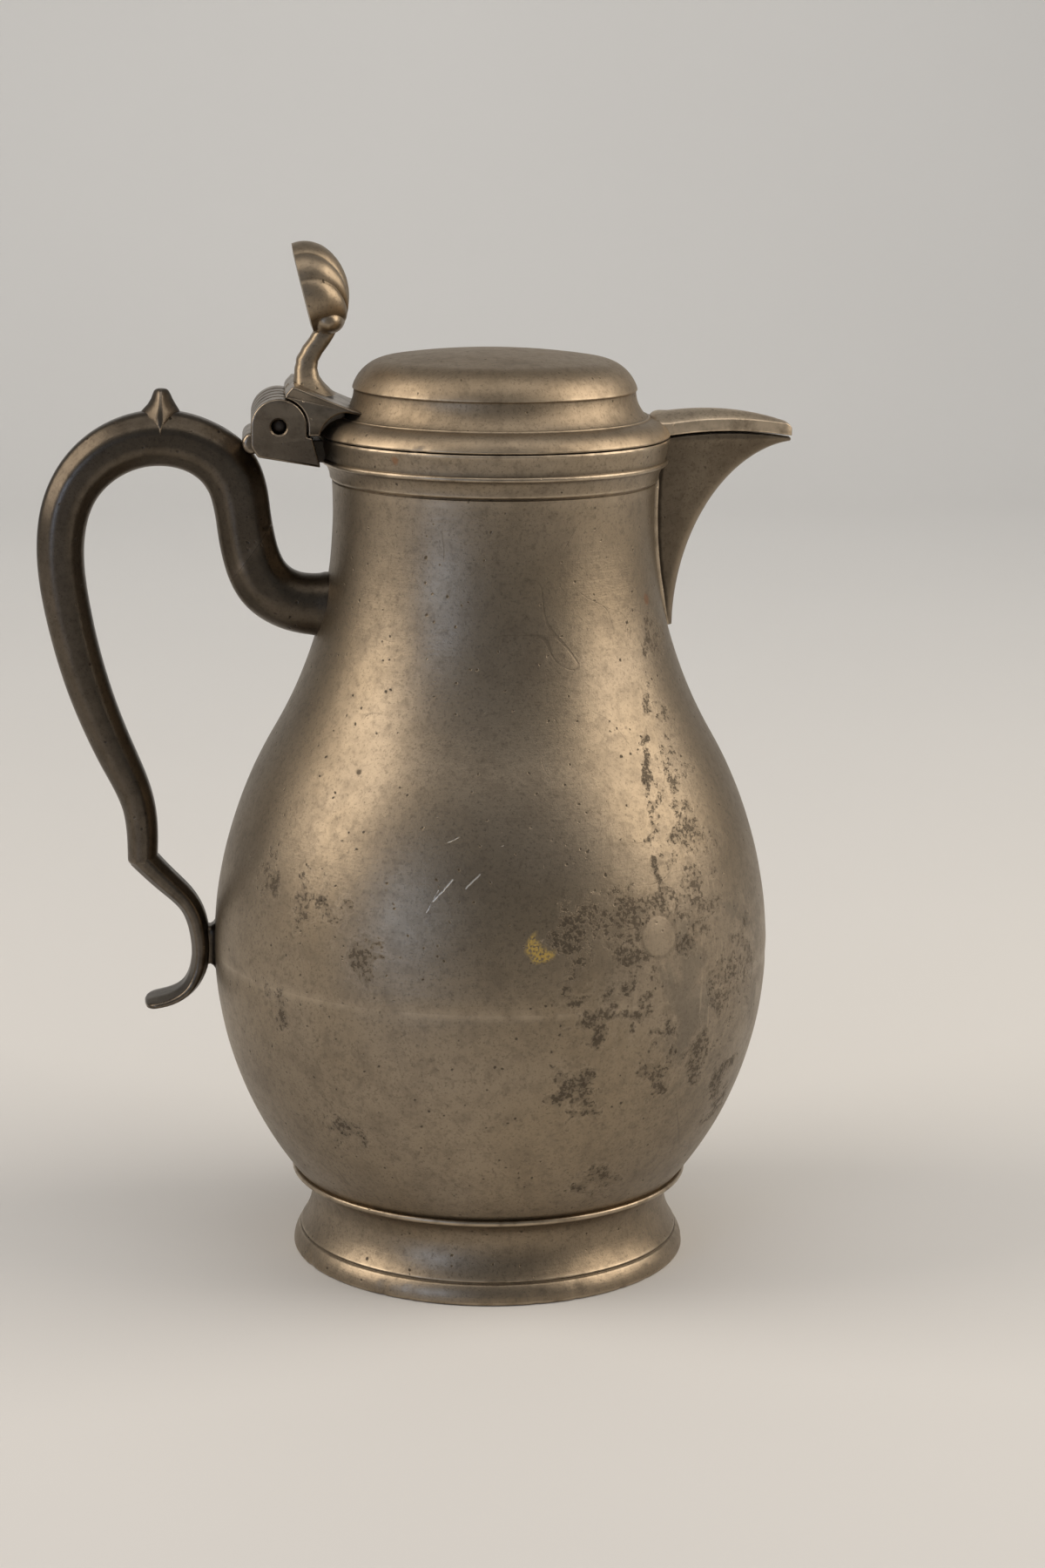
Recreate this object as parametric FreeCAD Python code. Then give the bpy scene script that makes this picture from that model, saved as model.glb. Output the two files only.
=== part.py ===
# Pear-shaped pewter jug with a beak spout, a scroll handle and a hinged lid.
# Millimetres. The origin is on the table at the jug's axis, X points to the spout and Z up.
import FreeCAD
import Part
import math
import os
from FreeCAD import Vector

# Body, turned in two castings that meet at the belly
WALL = 2.4
FOOT_RADIUS = 57.0
FOOT_HEIGHT = 21.8
FOOT_FLARE = 5.4
FOOT_LIP_STAND = 1.3
BELLY_RADIUS = 79.6
BELLY_HEIGHT = 90.8
BOWL_STAND = 1.8
SHOULDER_SHARE = 0.49
NECK_RADIUS = 45.4
NECK_HEIGHT = 216.8
RIM_RADIUS = 49.0
RIM_RISE = 20.8
SEAM_LAP = 4.0
BASE_LEDGE = 3.0

# Spout
SPOUT_TIP = 83.6
SPOUT_DEPTH = 54.0
SPOUT_KEEL_REACH = 5.7
SPOUT_ROOT_HALF = 8.4
SPOUT_FOOT_HALF = 3.1
SPOUT_NOSE = 2.9
SPOUT_WALL = 1.9
SPOUT_ARCH = 1.3

# Lid
LID_GAP = 0.35
LID_HEIGHT = 23.6
LID_WALL = 2.2
BRIM_RISE = 5.0
BRIM_WIDTH = 5.2
STEP_RISE = 12.6
STEP_INSET = 9.4
CROWN_ARC = 200.0
CROWN_SHOULDER = 11.5
BEZEL_DROP = 4.0
BEZEL_CLEARANCE = 1.2
COVER_EDGE = 3.6
COVER_CROWN = 2.9
COVER_OVERHANG = 0.4

# Hinge
HINGE_OFFSET = 11.6
HINGE_RISE = 4.2
KNUCKLE_COUNT = 5
KNUCKLE_WIDTH = 7.6
KNUCKLE_RADIUS = 7.7
KNUCKLE_GAP = 0.35
SIDE_GAP = 0.2
PIN_RADIUS = 2.15
PIN_CLEARANCE = 0.06
PIN_RECESS = 2.6
LUG_RISE = 11.4

# Thumbpiece
STEM_HEIGHT = 14.0
SHELL_LENGTH = 24.2
SHELL_DEPTH = 11.8
SHELL_HALF_WIDTH = 13.0
SHELL_LEAN = 14.0
SHELL_RIBS = 5
SHELL_WALL = 2.0

# Handle
HANDLE_REACH = 76.3
HANDLE_THICK = 15.5
HANDLE_WIDTH = 15.0
HANDLE_FACET = 0.42
TAIL_THICK = 5.2
TAIL_WIDTH = 12.4
CUSP_HEIGHT = 6.0
PAD_GAP = 1.3
PAD_HEIGHT = 14.0
PAD_WIDTH = 9.0

FOOT_WAIST = FOOT_RADIUS - FOOT_FLARE
BOWL_DROP = BELLY_RADIUS - FOOT_WAIST - BOWL_STAND
BOWL_ARC = (BOWL_DROP ** 2 + (BELLY_HEIGHT - FOOT_HEIGHT) ** 2) / (2 * BOWL_DROP)
BASE_FLANGE = FOOT_WAIST - WALL - 2.0
BASE_OPENING = BASE_FLANGE - BASE_LEDGE
RIM_HEIGHT = NECK_HEIGHT + RIM_RISE
LID_BASE = RIM_HEIGHT + LID_GAP
HINGE_X = -(RIM_RADIUS + HINGE_OFFSET)
HINGE_Z = RIM_HEIGHT + HINGE_RISE
HINGE_HALF = KNUCKLE_COUNT * KNUCKLE_WIDTH / 2
DROP = BELLY_RADIUS - NECK_RADIUS
BOTH_ARCS = (DROP ** 2 + (NECK_HEIGHT - BELLY_HEIGHT) ** 2) / (2 * DROP)
SHOULDER_ARC = BOTH_ARCS * SHOULDER_SHARE
NECK_ARC = BOTH_ARCS - SHOULDER_ARC
HANDLE_OUT = HANDLE_REACH / 76.3
HANDLE_FALL = (RIM_HEIGHT - BELLY_HEIGHT) / 146.8
HINGE_UNIT = KNUCKLE_RADIUS / 7.7
ACROSS = Vector(0, 1, 0)
UP = Vector(0, 0, 1)


def at(x, z, y=0.0):
    return Vector(x, y, z)


def line(a, b):
    return Part.LineSegment(at(*a), at(*b)).toShape()


def arc(a, middle, b):
    return Part.Arc(at(*a), at(*middle), at(*b)).toShape()


def outline(*corners):
    """Straight edges through the corners, left open at the end."""
    return [line(a, b) for a, b in zip(corners, corners[1:])]


def turned(edges):
    """Solid of revolution about the jug's axis from edges that close a section."""
    face = Part.Face(Part.Wire(edges))
    return face.revolve(Vector(0, 0, 0), UP, 360)


def slab(edges, half_width):
    """Section in the X-Z plane made as wide as twice half_width across the jug."""
    face = Part.Face(Part.Wire(edges))
    face.translate(ACROSS * -half_width)
    return face.extrude(ACROSS * (2 * half_width))


def across_cylinder(x, z, radius, y_from, y_to):
    return Part.makeCylinder(radius, y_to - y_from, Vector(x, y_from, z), ACROSS)


def block(x_from, x_to, half_width, z_from, z_to):
    corner = Vector(x_from, -half_width, z_from)
    return Part.makeBox(x_to - x_from, 2 * half_width, z_to - z_from, corner)


# Body of revolution

def turn_height(inset=0.0):
    """Height where the convex shoulder passes into the concave neck."""
    share = (SHOULDER_ARC - inset) / (SHOULDER_ARC + NECK_ARC)
    return BELLY_HEIGHT + (NECK_HEIGHT - BELLY_HEIGHT) * share


def bowl_radius(z, inset=0.0):
    reach = BOWL_ARC - inset
    return BELLY_RADIUS - BOWL_ARC + math.sqrt(reach ** 2 - (z - BELLY_HEIGHT) ** 2)


def shoulder_radius(z, inset=0.0):
    reach = SHOULDER_ARC - inset
    return BELLY_RADIUS - SHOULDER_ARC + math.sqrt(reach ** 2 - (z - BELLY_HEIGHT) ** 2)


def neck_radius(z, inset=0.0):
    reach = NECK_ARC + inset
    return NECK_RADIUS + NECK_ARC - math.sqrt(reach ** 2 - (z - NECK_HEIGHT) ** 2)


def profile_arc(radius_at, z_from, z_to, inset=0.0):
    """Arc of the pear outline between two heights, moved inward by inset."""
    ends = [(radius_at(z, inset), z) for z in (z_from, (z_from + z_to) / 2, z_to)]
    return arc(*ends)


def collar_edges():
    """Incised line, cove, bead and rim band from the neck up to the rim's outer edge."""
    top = RIM_HEIGHT
    part = RIM_RISE / 20.8
    foot = top - 13.6 * part
    start = (neck_radius(foot), foot)
    groove = (start[0] - 0.5, foot + 0.6 * part)
    cove_low = (start[0] + 0.6, foot + 1.2 * part)
    cove_high = (RIM_RADIUS - 1.5, top - 7.6 * part)
    cove_mid = (cove_low[0] * 0.62 + cove_high[0] * 0.38, top - 9.4 * part)
    bead_out = (RIM_RADIUS - 0.5, top - 6.7 * part)
    bead_top = (RIM_RADIUS - 1.2, top - 5.8 * part)
    edges = outline(start, groove, cove_low)
    edges.append(arc(cove_low, cove_mid, cove_high))
    edges.append(arc(cove_high, bead_out, bead_top))
    band_mid = (RIM_RADIUS - 0.75, top - 3.0 * part)
    edges.append(arc(bead_top, band_mid, (RIM_RADIUS, top - 0.5)))
    edges.append(line((RIM_RADIUS, top - 0.5), (RIM_RADIUS - 0.3, top)))
    return start, edges


def body_filled():
    """The jug's outer shape without a hollow, for trimming what is soldered on."""
    start, collar = collar_edges()
    edges = [line((0, FOOT_HEIGHT), (bowl_radius(FOOT_HEIGHT), FOOT_HEIGHT))]
    edges.append(profile_arc(bowl_radius, FOOT_HEIGHT, BELLY_HEIGHT))
    edges.append(profile_arc(shoulder_radius, BELLY_HEIGHT, turn_height()))
    edges.append(profile_arc(neck_radius, turn_height(), start[1]))
    edges += collar
    edges += outline((RIM_RADIUS - 0.3, RIM_HEIGHT), (0, RIM_HEIGHT), (0, FOOT_HEIGHT))
    return turned(edges)


def lower_body():
    floor = FOOT_HEIGHT + WALL
    lap = BELLY_RADIUS - WALL / 2
    lap_low = BELLY_HEIGHT - SEAM_LAP
    foot = (bowl_radius(FOOT_HEIGHT), FOOT_HEIGHT)
    edges = [profile_arc(bowl_radius, BELLY_HEIGHT, FOOT_HEIGHT)]
    inner_foot = (bowl_radius(floor, WALL), floor)
    edges += outline(foot, (BASE_OPENING, FOOT_HEIGHT), (BASE_OPENING, floor), inner_foot)
    edges.append(profile_arc(bowl_radius, floor, lap_low, WALL))
    inner_top = (bowl_radius(lap_low, WALL), lap_low)
    edges += outline(inner_top, (lap, lap_low), (lap, BELLY_HEIGHT), (BELLY_RADIUS, BELLY_HEIGHT))
    return turned(edges)


def upper_body():
    start, collar = collar_edges()
    lap = BELLY_RADIUS - WALL / 2
    lap_low = BELLY_HEIGHT - SEAM_LAP
    inner_seam = shoulder_radius(BELLY_HEIGHT, WALL)
    turn = turn_height(WALL)
    edges = [profile_arc(shoulder_radius, BELLY_HEIGHT, turn_height())]
    edges.append(profile_arc(neck_radius, turn_height(), start[1]))
    edges += collar
    edges.append(line((RIM_RADIUS - 0.3, RIM_HEIGHT), (neck_radius(RIM_HEIGHT, WALL), RIM_HEIGHT)))
    edges.append(profile_arc(neck_radius, RIM_HEIGHT, turn, WALL))
    edges.append(profile_arc(shoulder_radius, turn, BELLY_HEIGHT, WALL))
    lip = bowl_radius(lap_low, WALL)
    edges += outline((inner_seam, BELLY_HEIGHT), (lip, lap_low), (lap, lap_low),
                     (lap, BELLY_HEIGHT), (BELLY_RADIUS, BELLY_HEIGHT))
    return turned(edges).cut(spout_volume(SPOUT_WALL))


def base_plate():
    """Disc let into the bottom opening, dished up a little in the middle."""
    low = FOOT_HEIGHT - WALL
    high = FOOT_HEIGHT + WALL
    edges = outline((0, low + 1.6), (BASE_FLANGE - 6, low), (BASE_FLANGE, low),
                    (BASE_FLANGE, FOOT_HEIGHT), (BASE_OPENING, FOOT_HEIGHT), (BASE_OPENING, high),
                    (BASE_FLANGE - 8, high), (0, high + 1.6), (0, low + 1.6))
    return turned(edges)


def foot_ring(filled):
    """Flared foot: table edge, incised line, hollow flare and a thin lip round the bowl."""
    top = FOOT_HEIGHT + 3.2
    lip = bowl_radius(top) + FOOT_LIP_STAND
    waist = (FOOT_WAIST, FOOT_HEIGHT * 0.76)
    under = (bowl_radius(top - 1.6) + FOOT_LIP_STAND, top - 1.6)
    edges = [arc((FOOT_RADIUS - 0.7, 0), (FOOT_RADIUS - 0.1, 0.5), (FOOT_RADIUS, 1.2))]
    edges += [arc((FOOT_RADIUS, 1.2), (FOOT_RADIUS - 0.5, 3.6), (FOOT_RADIUS - 1.6, 5.6))]
    edges += outline((FOOT_RADIUS - 1.6, 5.6), (FOOT_RADIUS - 2.3, 6.0), (FOOT_RADIUS - 2.0, 6.6))
    edges += [arc((FOOT_RADIUS - 2.0, 6.6), (FOOT_WAIST + 1.0, FOOT_HEIGHT * 0.52), waist)]
    cove = (FOOT_WAIST + (under[0] - FOOT_WAIST) * 0.3, waist[1] + (under[1] - waist[1]) * 0.62)
    edges += [arc(waist, cove, under), arc(under, (lip, top - 0.9), (lip - 0.3, top))]
    inner = BASE_FLANGE + 1.6
    edges += outline((lip - 0.3, top), (inner, top), (inner, FOOT_HEIGHT * 0.6),
                     (FOOT_RADIUS - 4.6, 0), (FOOT_RADIUS - 0.7, 0))
    return largest(turned(edges).cut(filled))


# Spout, a V in plan that narrows from the neck to a rounded keel

def keel_reach(z):
    """How far the keel stands from the axis at a height, along a quarter of an oval."""
    foot = NECK_RADIUS + SPOUT_KEEL_REACH
    share = min(max((z - RIM_HEIGHT + SPOUT_DEPTH) / (SPOUT_DEPTH - 1.0), 0.0), 1.0)
    run = SPOUT_TIP + 4.0 - foot
    return foot + run * (1.0 - (1.0 - share ** 1.95) ** (1 / 1.95))


def spout_section(z, inset):
    """Closed section at a height: root line, two flat cheeks and a rounded nose."""
    share = min(max((z - RIM_HEIGHT + SPOUT_DEPTH) / SPOUT_DEPTH, 0.0), 1.0)
    half = SPOUT_FOOT_HALF + (SPOUT_ROOT_HALF - SPOUT_FOOT_HALF) * math.sqrt(share) - inset
    nose = SPOUT_NOSE - inset
    root = NECK_RADIUS - 6.0
    centre = keel_reach(z) - SPOUT_NOSE
    bearing = math.atan2(half, root - centre)
    touch = bearing - math.acos(nose / math.hypot(half, root - centre))
    tip = Vector(centre + nose, 0, z)
    high = Vector(centre + nose * math.cos(touch), nose * math.sin(touch), z)
    low = Vector(high.x, -high.y, z)
    root_high = Vector(root, half, z)
    root_low = Vector(root, -half, z)
    edges = [Part.LineSegment(root_low, low).toShape(), Part.Arc(low, tip, high).toShape()]
    edges.append(Part.LineSegment(high, root_high).toShape())
    edges.append(Part.LineSegment(root_high, root_low).toShape())
    return Part.Wire(edges)


def spout_volume(inset):
    foot = RIM_HEIGHT - SPOUT_DEPTH
    levels = [0.0, 0.16, 0.32, 0.48, 0.62, 0.75, 0.86, 0.94, 1.0, 1.08]
    if inset:
        levels = levels[1:]
    wires = [spout_section(foot + SPOUT_DEPTH * share, inset) for share in levels]
    return Part.makeLoft(wires, True, False)


def arch_height(x):
    """Upper edge of the spout, a low arch from the rim to the tip."""
    share = (x - RIM_RADIUS) / (SPOUT_TIP - RIM_RADIUS)
    return RIM_HEIGHT + SPOUT_ARCH * 4 * share * (1 - share) - 0.5 * share


def arch_block(lift):
    """Everything above the spout's arched edge, moved up by lift."""
    near = RIM_RADIUS - 8.0
    far = SPOUT_TIP + 8.0
    middle = (RIM_RADIUS + SPOUT_TIP) / 2
    ends = [(x, arch_height(x) + lift) for x in (RIM_RADIUS, middle, SPOUT_TIP)]
    top = RIM_HEIGHT + 40.0
    edges = [arc(*ends)]
    edges += outline(ends[2], (far, ends[2][1]), (far, top), (near, top), (near, ends[0][1]), ends[0])
    return slab(edges, 40.0)


def spout(filled):
    shell = spout_volume(0.0).cut(spout_volume(SPOUT_WALL))
    shell = shell.cut(filled).cut(arch_block(0.0))
    beyond = block(SPOUT_TIP, SPOUT_TIP + 40.0, 40.0, 0.0, RIM_HEIGHT + 40.0)
    return largest(shell.cut(beyond))


def largest(shape):
    """The main solid of a trimmed shape, without slivers inside the neck."""
    return sorted(shape.Solids, key=lambda solid: solid.Volume)[-1]


# Lid

def crown_shoulder(top, rim):
    """Centre of the arc that joins the low crown to the lid's upper step."""
    centre_z = top - CROWN_ARC
    near = CROWN_ARC - CROWN_SHOULDER
    gap = Vector(rim[0], rim[1] - centre_z, 0)
    length = gap.Length
    along = (near ** 2 - CROWN_SHOULDER ** 2 + length ** 2) / (2 * length)
    off = math.sqrt(near ** 2 - along ** 2)
    unit = gap / length
    return (unit.x * along - unit.y * off, centre_z + unit.y * along + unit.x * off)


def dome_edges(top, rim, inset):
    """Shoulder and crown arcs from the step to the axis, moved inward by inset."""
    centre = crown_shoulder(top, rim)
    crown_z = top - CROWN_ARC
    reach = CROWN_SHOULDER - inset
    first = math.atan2(rim[1] - centre[1], rim[0] - centre[0])
    last = math.atan2(centre[1] - crown_z, centre[0])

    def on_shoulder(angle):
        return (centre[0] + reach * math.cos(angle), centre[1] + reach * math.sin(angle))

    def on_crown(angle):
        radius = CROWN_ARC - inset
        return (radius * math.cos(angle), crown_z + radius * math.sin(angle))

    join = on_shoulder(last)
    middle = on_crown((last + math.pi / 2) / 2)
    shoulder = arc(on_shoulder(first), on_shoulder((first + last) / 2), join)
    return on_shoulder(first), [shoulder, arc(join, middle, (0, top - inset))]


def lid_outer_edges():
    brim = RIM_RADIUS
    low = LID_BASE
    crease = (brim - BRIM_WIDTH, low + BRIM_RISE)
    step = (brim - STEP_INSET, low + STEP_RISE)
    edges = outline((brim - 0.3, low), (brim, low + 0.4))
    edges.append(arc((brim, low + 0.4), (brim - BRIM_WIDTH * 0.36, low + BRIM_RISE * 0.66), crease))
    hollow = (crease[0] - 0.5, crease[1] + 0.5)
    edges.append(line(crease, hollow))
    bend = (step[0] + (hollow[0] - step[0]) * 0.3, hollow[1] + (step[1] - hollow[1]) * 0.42)
    edges.append(arc(hollow, bend, step))
    rim = (step[0] + 0.45, step[1] + 0.4)
    edges.append(line(step, rim))
    start, dome = dome_edges(low + LID_HEIGHT, rim, 0.0)
    return edges + dome, rim


def lid_filled():
    edges, rim = lid_outer_edges()
    edges += outline((0, LID_BASE + LID_HEIGHT), (0, LID_BASE), (RIM_RADIUS - 0.3, LID_BASE))
    return turned(edges)


def lid():
    edges, rim = lid_outer_edges()
    top = LID_BASE + LID_HEIGHT
    inner, dome = dome_edges(top, rim, LID_WALL)
    bezel = neck_radius(RIM_HEIGHT, WALL) - BEZEL_CLEARANCE
    inside = bezel - LID_WALL
    foot = LID_BASE - BEZEL_DROP
    narrow = min(inside, RIM_RADIUS - STEP_INSET - LID_WALL)
    lower = (narrow, LID_BASE + STEP_RISE - LID_WALL)
    edges += [edge for edge in reversed(dome)]
    edges += outline(inner, lower, (narrow + 1.2, LID_BASE + BRIM_RISE - 0.6), (inside, LID_BASE + 1.6),
                     (inside, foot), (bezel - 0.4, foot), (bezel, foot + 0.6), (bezel, LID_BASE),
                     (RIM_RADIUS - 0.3, LID_BASE))
    edges.append(line((0, top), (0, top - LID_WALL)))
    return turned(Part.sortEdges(edges)[0])


def cover_section(share):
    """Section of the spout cover across the jug: flat underside, upright edges, crowned top."""
    start = RIM_RADIUS - 6.0
    x = start + (SPOUT_TIP + 0.5 - start) * share
    root = SPOUT_ROOT_HALF + COVER_OVERHANG
    half = root + (SPOUT_NOSE + 0.3 - root) * share
    low = arch_height(max(x, RIM_RADIUS)) + LID_GAP - 2.0
    edge = arch_height(max(x, RIM_RADIUS)) + LID_GAP + COVER_EDGE * (1 - 0.25 * share ** 4)
    crown = edge + COVER_CROWN * (1 - share ** 1.7) + 0.5
    corners = [Vector(x, -half, low), Vector(x, half, low), Vector(x, half, edge)]
    top = Vector(x, 0, crown)
    last = Vector(x, -half, edge)
    edges = [Part.LineSegment(a, b).toShape() for a, b in zip(corners, corners[1:])]
    edges.append(Part.Arc(corners[2], top, last).toShape())
    edges.append(Part.LineSegment(last, corners[0]).toShape())
    return Part.Wire(edges)


def lid_spout_cover(filled_lid):
    wires = [cover_section(share / 6) for share in range(7)]
    tongue = Part.makeLoft(wires, True, False)
    tongue = tongue.common(arch_block(LID_GAP)).cut(filled_lid)
    inside_lid = Part.makeCylinder(RIM_RADIUS - BRIM_WIDTH, 60.0, Vector(0, 0, RIM_HEIGHT - 20.0))
    inside_rim = Part.makeCylinder(RIM_RADIUS + 0.1, 20.0 + LID_GAP, Vector(0, 0, RIM_HEIGHT - 20.0))
    return largest(tongue.cut(inside_lid).cut(inside_rim))


# Hinge

def knuckles(first):
    """Spans of every second knuckle, counted from the side seen from the front."""
    spans = []
    for index in range(first, KNUCKLE_COUNT, 2):
        y = -HINGE_HALF + index * KNUCKLE_WIDTH
        spans.append((y, y + KNUCKLE_WIDTH))
    return spans


def hinge_bracket(filled, handle):
    """Block behind the rim with the outer and middle knuckles and a rounded rear foot."""
    x, z, unit = HINGE_X, HINGE_Z, HINGE_UNIT
    front = -(RIM_RADIUS + 1.6 * unit)
    step = z - 2.9 * unit
    rear = x - KNUCKLE_RADIUS
    low = z - 8.4 * unit
    edges = outline((x + KNUCKLE_RADIUS, z), (x + KNUCKLE_RADIUS, step), (front, step),
                    (front + 0.6 * unit, low - 2.8 * unit), (rear + 1.9 * unit, low),
                    (rear, low + 2.9 * unit), (rear, z))
    edges.append(arc((rear, z), (x, z + KNUCKLE_RADIUS), (x + KNUCKLE_RADIUS, z)))
    body = slab(edges, HINGE_HALF)
    heel = (rear + 0.5 * unit, z - 2.2 * unit)
    toe = (rear + 1.2 * unit, low + 0.2 * unit)
    foot = [arc(heel, (rear - 2.4 * unit, z - 5.6 * unit), toe), line(toe, heel)]
    body = body.fuse(slab(foot, HINGE_HALF * 0.68))
    tenon = block(front - 1.0, 6.0 * unit - RIM_RADIUS, HINGE_HALF * 0.42, low - 2.0 * unit, RIM_HEIGHT - 0.6)
    body = body.fuse(tenon)
    for y_from, y_to in knuckles(1):
        room = across_cylinder(x, z, KNUCKLE_RADIUS + KNUCKLE_GAP, y_from - SIDE_GAP, y_to + SIDE_GAP)
        body = body.cut(room)
        span = y_to - y_from + 2 * SIDE_GAP
        over = Part.makeBox(40.0, span, 20.0, Vector(x - 20.0, y_from - SIDE_GAP, z))
        body = body.cut(over)
    body = body.cut(across_cylinder(x, z, PIN_RADIUS, -HINGE_HALF - 1.0, HINGE_HALF + 1.0))
    return largest(body.cut(filled).cut(handle).removeSplitter())


def hinge_pin():
    half = HINGE_HALF - PIN_RECESS
    pin = across_cylinder(HINGE_X, HINGE_Z, PIN_RADIUS, -half, half)
    return pin.makeChamfer(0.4, [edge for edge in pin.Edges if edge.Closed and len(edge.Vertexes) == 1])


def hinge_lug(filled_lid):
    """Bridge from the lid to the hinge with the knuckles that turn on the pin."""
    x, z, unit = HINGE_X, HINGE_Z, HINGE_UNIT
    room = KNUCKLE_RADIUS + KNUCKLE_GAP
    top = z + LUG_RISE
    end = -(RIM_RADIUS - STEP_INSET - 3.0)
    low = z - 2.5 * unit
    tip = (x + room + 3.2 * unit, low)
    under = (x + 18.6 * unit, z + 3.7 * unit)
    edges = outline((x, z), (x + 2.0 * unit, top - 2.4 * unit), (x + 4.0 * unit, top - 0.2 * unit),
                    (x + 20.0 * unit, z + 4.6 * unit), (end, z + 3.4 * unit), (end, z + 2.6 * unit), under)
    edges.append(arc(under, (x + 14.2 * unit, z + 2.2 * unit), tip))
    edges += outline(tip, (x + room, low), (x + room, z), (x, z))
    body = slab(edges, HINGE_HALF)
    web = outline(tip, (under[0], low), under)
    web.append(arc(under, (x + 14.2 * unit, z + 2.2 * unit), tip))
    body = body.fuse(slab(web, HINGE_HALF * 0.42))
    for side in (-1, 1):
        near, far = x + 9.0 * unit, x + 30.0 * unit
        edge, wide = side * (HINGE_HALF + 0.01), side * (HINGE_HALF + 9.0)
        inward = side * (HINGE_HALF - 4.0 * unit)
        corners = [Vector(near, edge, 0), Vector(far, inward, 0), Vector(far, wide, 0), Vector(near, wide, 0)]
        taper = Part.Face(Part.makePolygon(corners + corners[:1]))
        body = body.cut(taper.extrude(UP * (2 * HINGE_Z)))
    for y_from, y_to in knuckles(0):
        ends = (max(y_from - SIDE_GAP, -HINGE_HALF - 1.0), min(y_to + SIDE_GAP, HINGE_HALF + 1.0))
        body = body.cut(across_cylinder(x, z, room, *ends))
    for y_from, y_to in knuckles(1):
        body = body.fuse(across_cylinder(x, z, KNUCKLE_RADIUS, y_from + SIDE_GAP, y_to - SIDE_GAP))
    bore = PIN_RADIUS + PIN_CLEARANCE
    body = body.cut(across_cylinder(x, z, bore, -HINGE_HALF - 1.0, HINGE_HALF + 1.0))
    return largest(body.cut(filled_lid).removeSplitter())


# Thumbpiece

def shell_pole(along, lift, fan, rib):
    """Control point of the scallop: along runs from its root to the rim, fan from side to side."""
    spread = math.radians(80.0) * fan
    flank = math.sqrt(1.0 - fan ** 4)
    length = SHELL_LENGTH * (0.52 + 0.48 * math.cos(spread)) * along * (1.0 + 0.03 * rib)
    side = SHELL_HALF_WIDTH * math.sin(spread) * along ** 0.6 * (1.0 + 0.03 * rib)
    return Vector(SHELL_DEPTH * lift * flank * (1.0 + 0.11 * rib), side, length)


def scallop():
    """Solid between the ribbed face of the scallop and the plane of its rim."""
    course = [(0.05, 0.0), (0.05, 0.62), (0.22, 0.98), (0.55, 1.06), (0.86, 1.02), (1.0, 0.72), (1.0, 0.0)]
    count = 2 * SHELL_RIBS
    rows = []
    for along, lift in course:
        fans = [(-1 + 2 * step / count, 1 if step % 2 else -1) for step in range(count + 1)]
        rows.append([shell_pole(along, lift, fan, rib) for fan, rib in fans])
    across_mults, across_knots = end_knots(len(rows))
    fan_mults, fan_knots = end_knots(count + 1)
    surface = Part.BSplineSurface()
    surface.buildFromPolesMultsKnots(rows, across_mults, fan_mults, across_knots, fan_knots,
                                     False, False, 3, 3)
    face = surface.toShape()
    back = Part.Face(Part.Wire(Part.sortEdges(face.Edges)[0]))
    solid = Part.makeSolid(Part.makeShell([face, back]))
    if solid.Volume < 0:
        solid.reverse()
    return solid


def end_knots(count):
    """Multiplicities and knots of a cubic that starts and ends on its end poles."""
    spans = count - 3
    return [4] + [1] * (spans - 1) + [4], [step / spans for step in range(spans + 1)]


def dished_scallop():
    """The scallop with the hollow under the thumb."""
    full = scallop()
    hollow = full.scaled(1.0 - SHELL_WALL / SHELL_DEPTH, Vector(0, 0, SHELL_LENGTH * 0.55))
    hollow.translate(Vector(-0.3, 0, 0))
    return full.cut(hollow)


def stem_section(x_from, x_to, half_width, z):
    centre = Vector((x_from + x_to) / 2, 0, z)
    run = (x_to - x_from) / 2
    if run > half_width:
        oval = Part.Ellipse(Vector(centre.x + run, 0, z), Vector(centre.x, half_width, z), centre)
    else:
        oval = Part.Ellipse(Vector(centre.x, half_width, z), Vector(centre.x - run, 0, z), centre)
    return Part.Wire(oval.toShape())


def thumbpiece(lug):
    x = HINGE_X
    base = HINGE_Z + LUG_RISE - 2.6
    foot = HINGE_Z + LUG_RISE
    rise = STEM_HEIGHT
    wires = [stem_section(x + 3.4, x + 15.0, 8.5, base), stem_section(x + 4.6, x + 12.2, 6.6, foot + 1.2),
             stem_section(x + 5.5, x + 10.9, 4.9, foot + rise * 0.36),
             stem_section(x + 7.0, x + 12.6, 4.2, foot + rise * 0.66),
             stem_section(x + 9.6, x + 16.0, 4.4, foot + rise)]
    stem = Part.makeLoft(wires, True, False)
    shell = dished_scallop()
    shell.rotate(Vector(0, 0, 0), ACROSS, -SHELL_LEAN)
    shell.translate(Vector(x + 9.9, 0, foot + rise - 0.8))
    roll = Part.makeSphere(4.3, Vector(x + 14.0, 0, foot + rise + 2.6))
    body = stem.fuse(roll).fuse(shell)
    return largest(body.cut(lug).removeSplitter())


# Handle

def sweep(stations):
    """Solid with an eight-sided section along a path; a station is x, z, thickness, width."""
    path = Part.BSplineCurve()
    path.interpolate([at(station[0], station[1]) for station in stations])
    knots = path.getKnots()
    wires = []
    for index, station in enumerate(stations):
        wires.append(ring_section(path, knots[index], station[2], station[3]))
        if index + 1 < len(stations):
            following = stations[index + 1]
            half = (knots[index] + knots[index + 1]) / 2
            thick = (station[2] + following[2]) / 2
            width = (station[3] + following[3]) / 2
            wires.append(ring_section(path, half, thick, width))
    return Part.makeLoft(wires, True, False)


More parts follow.
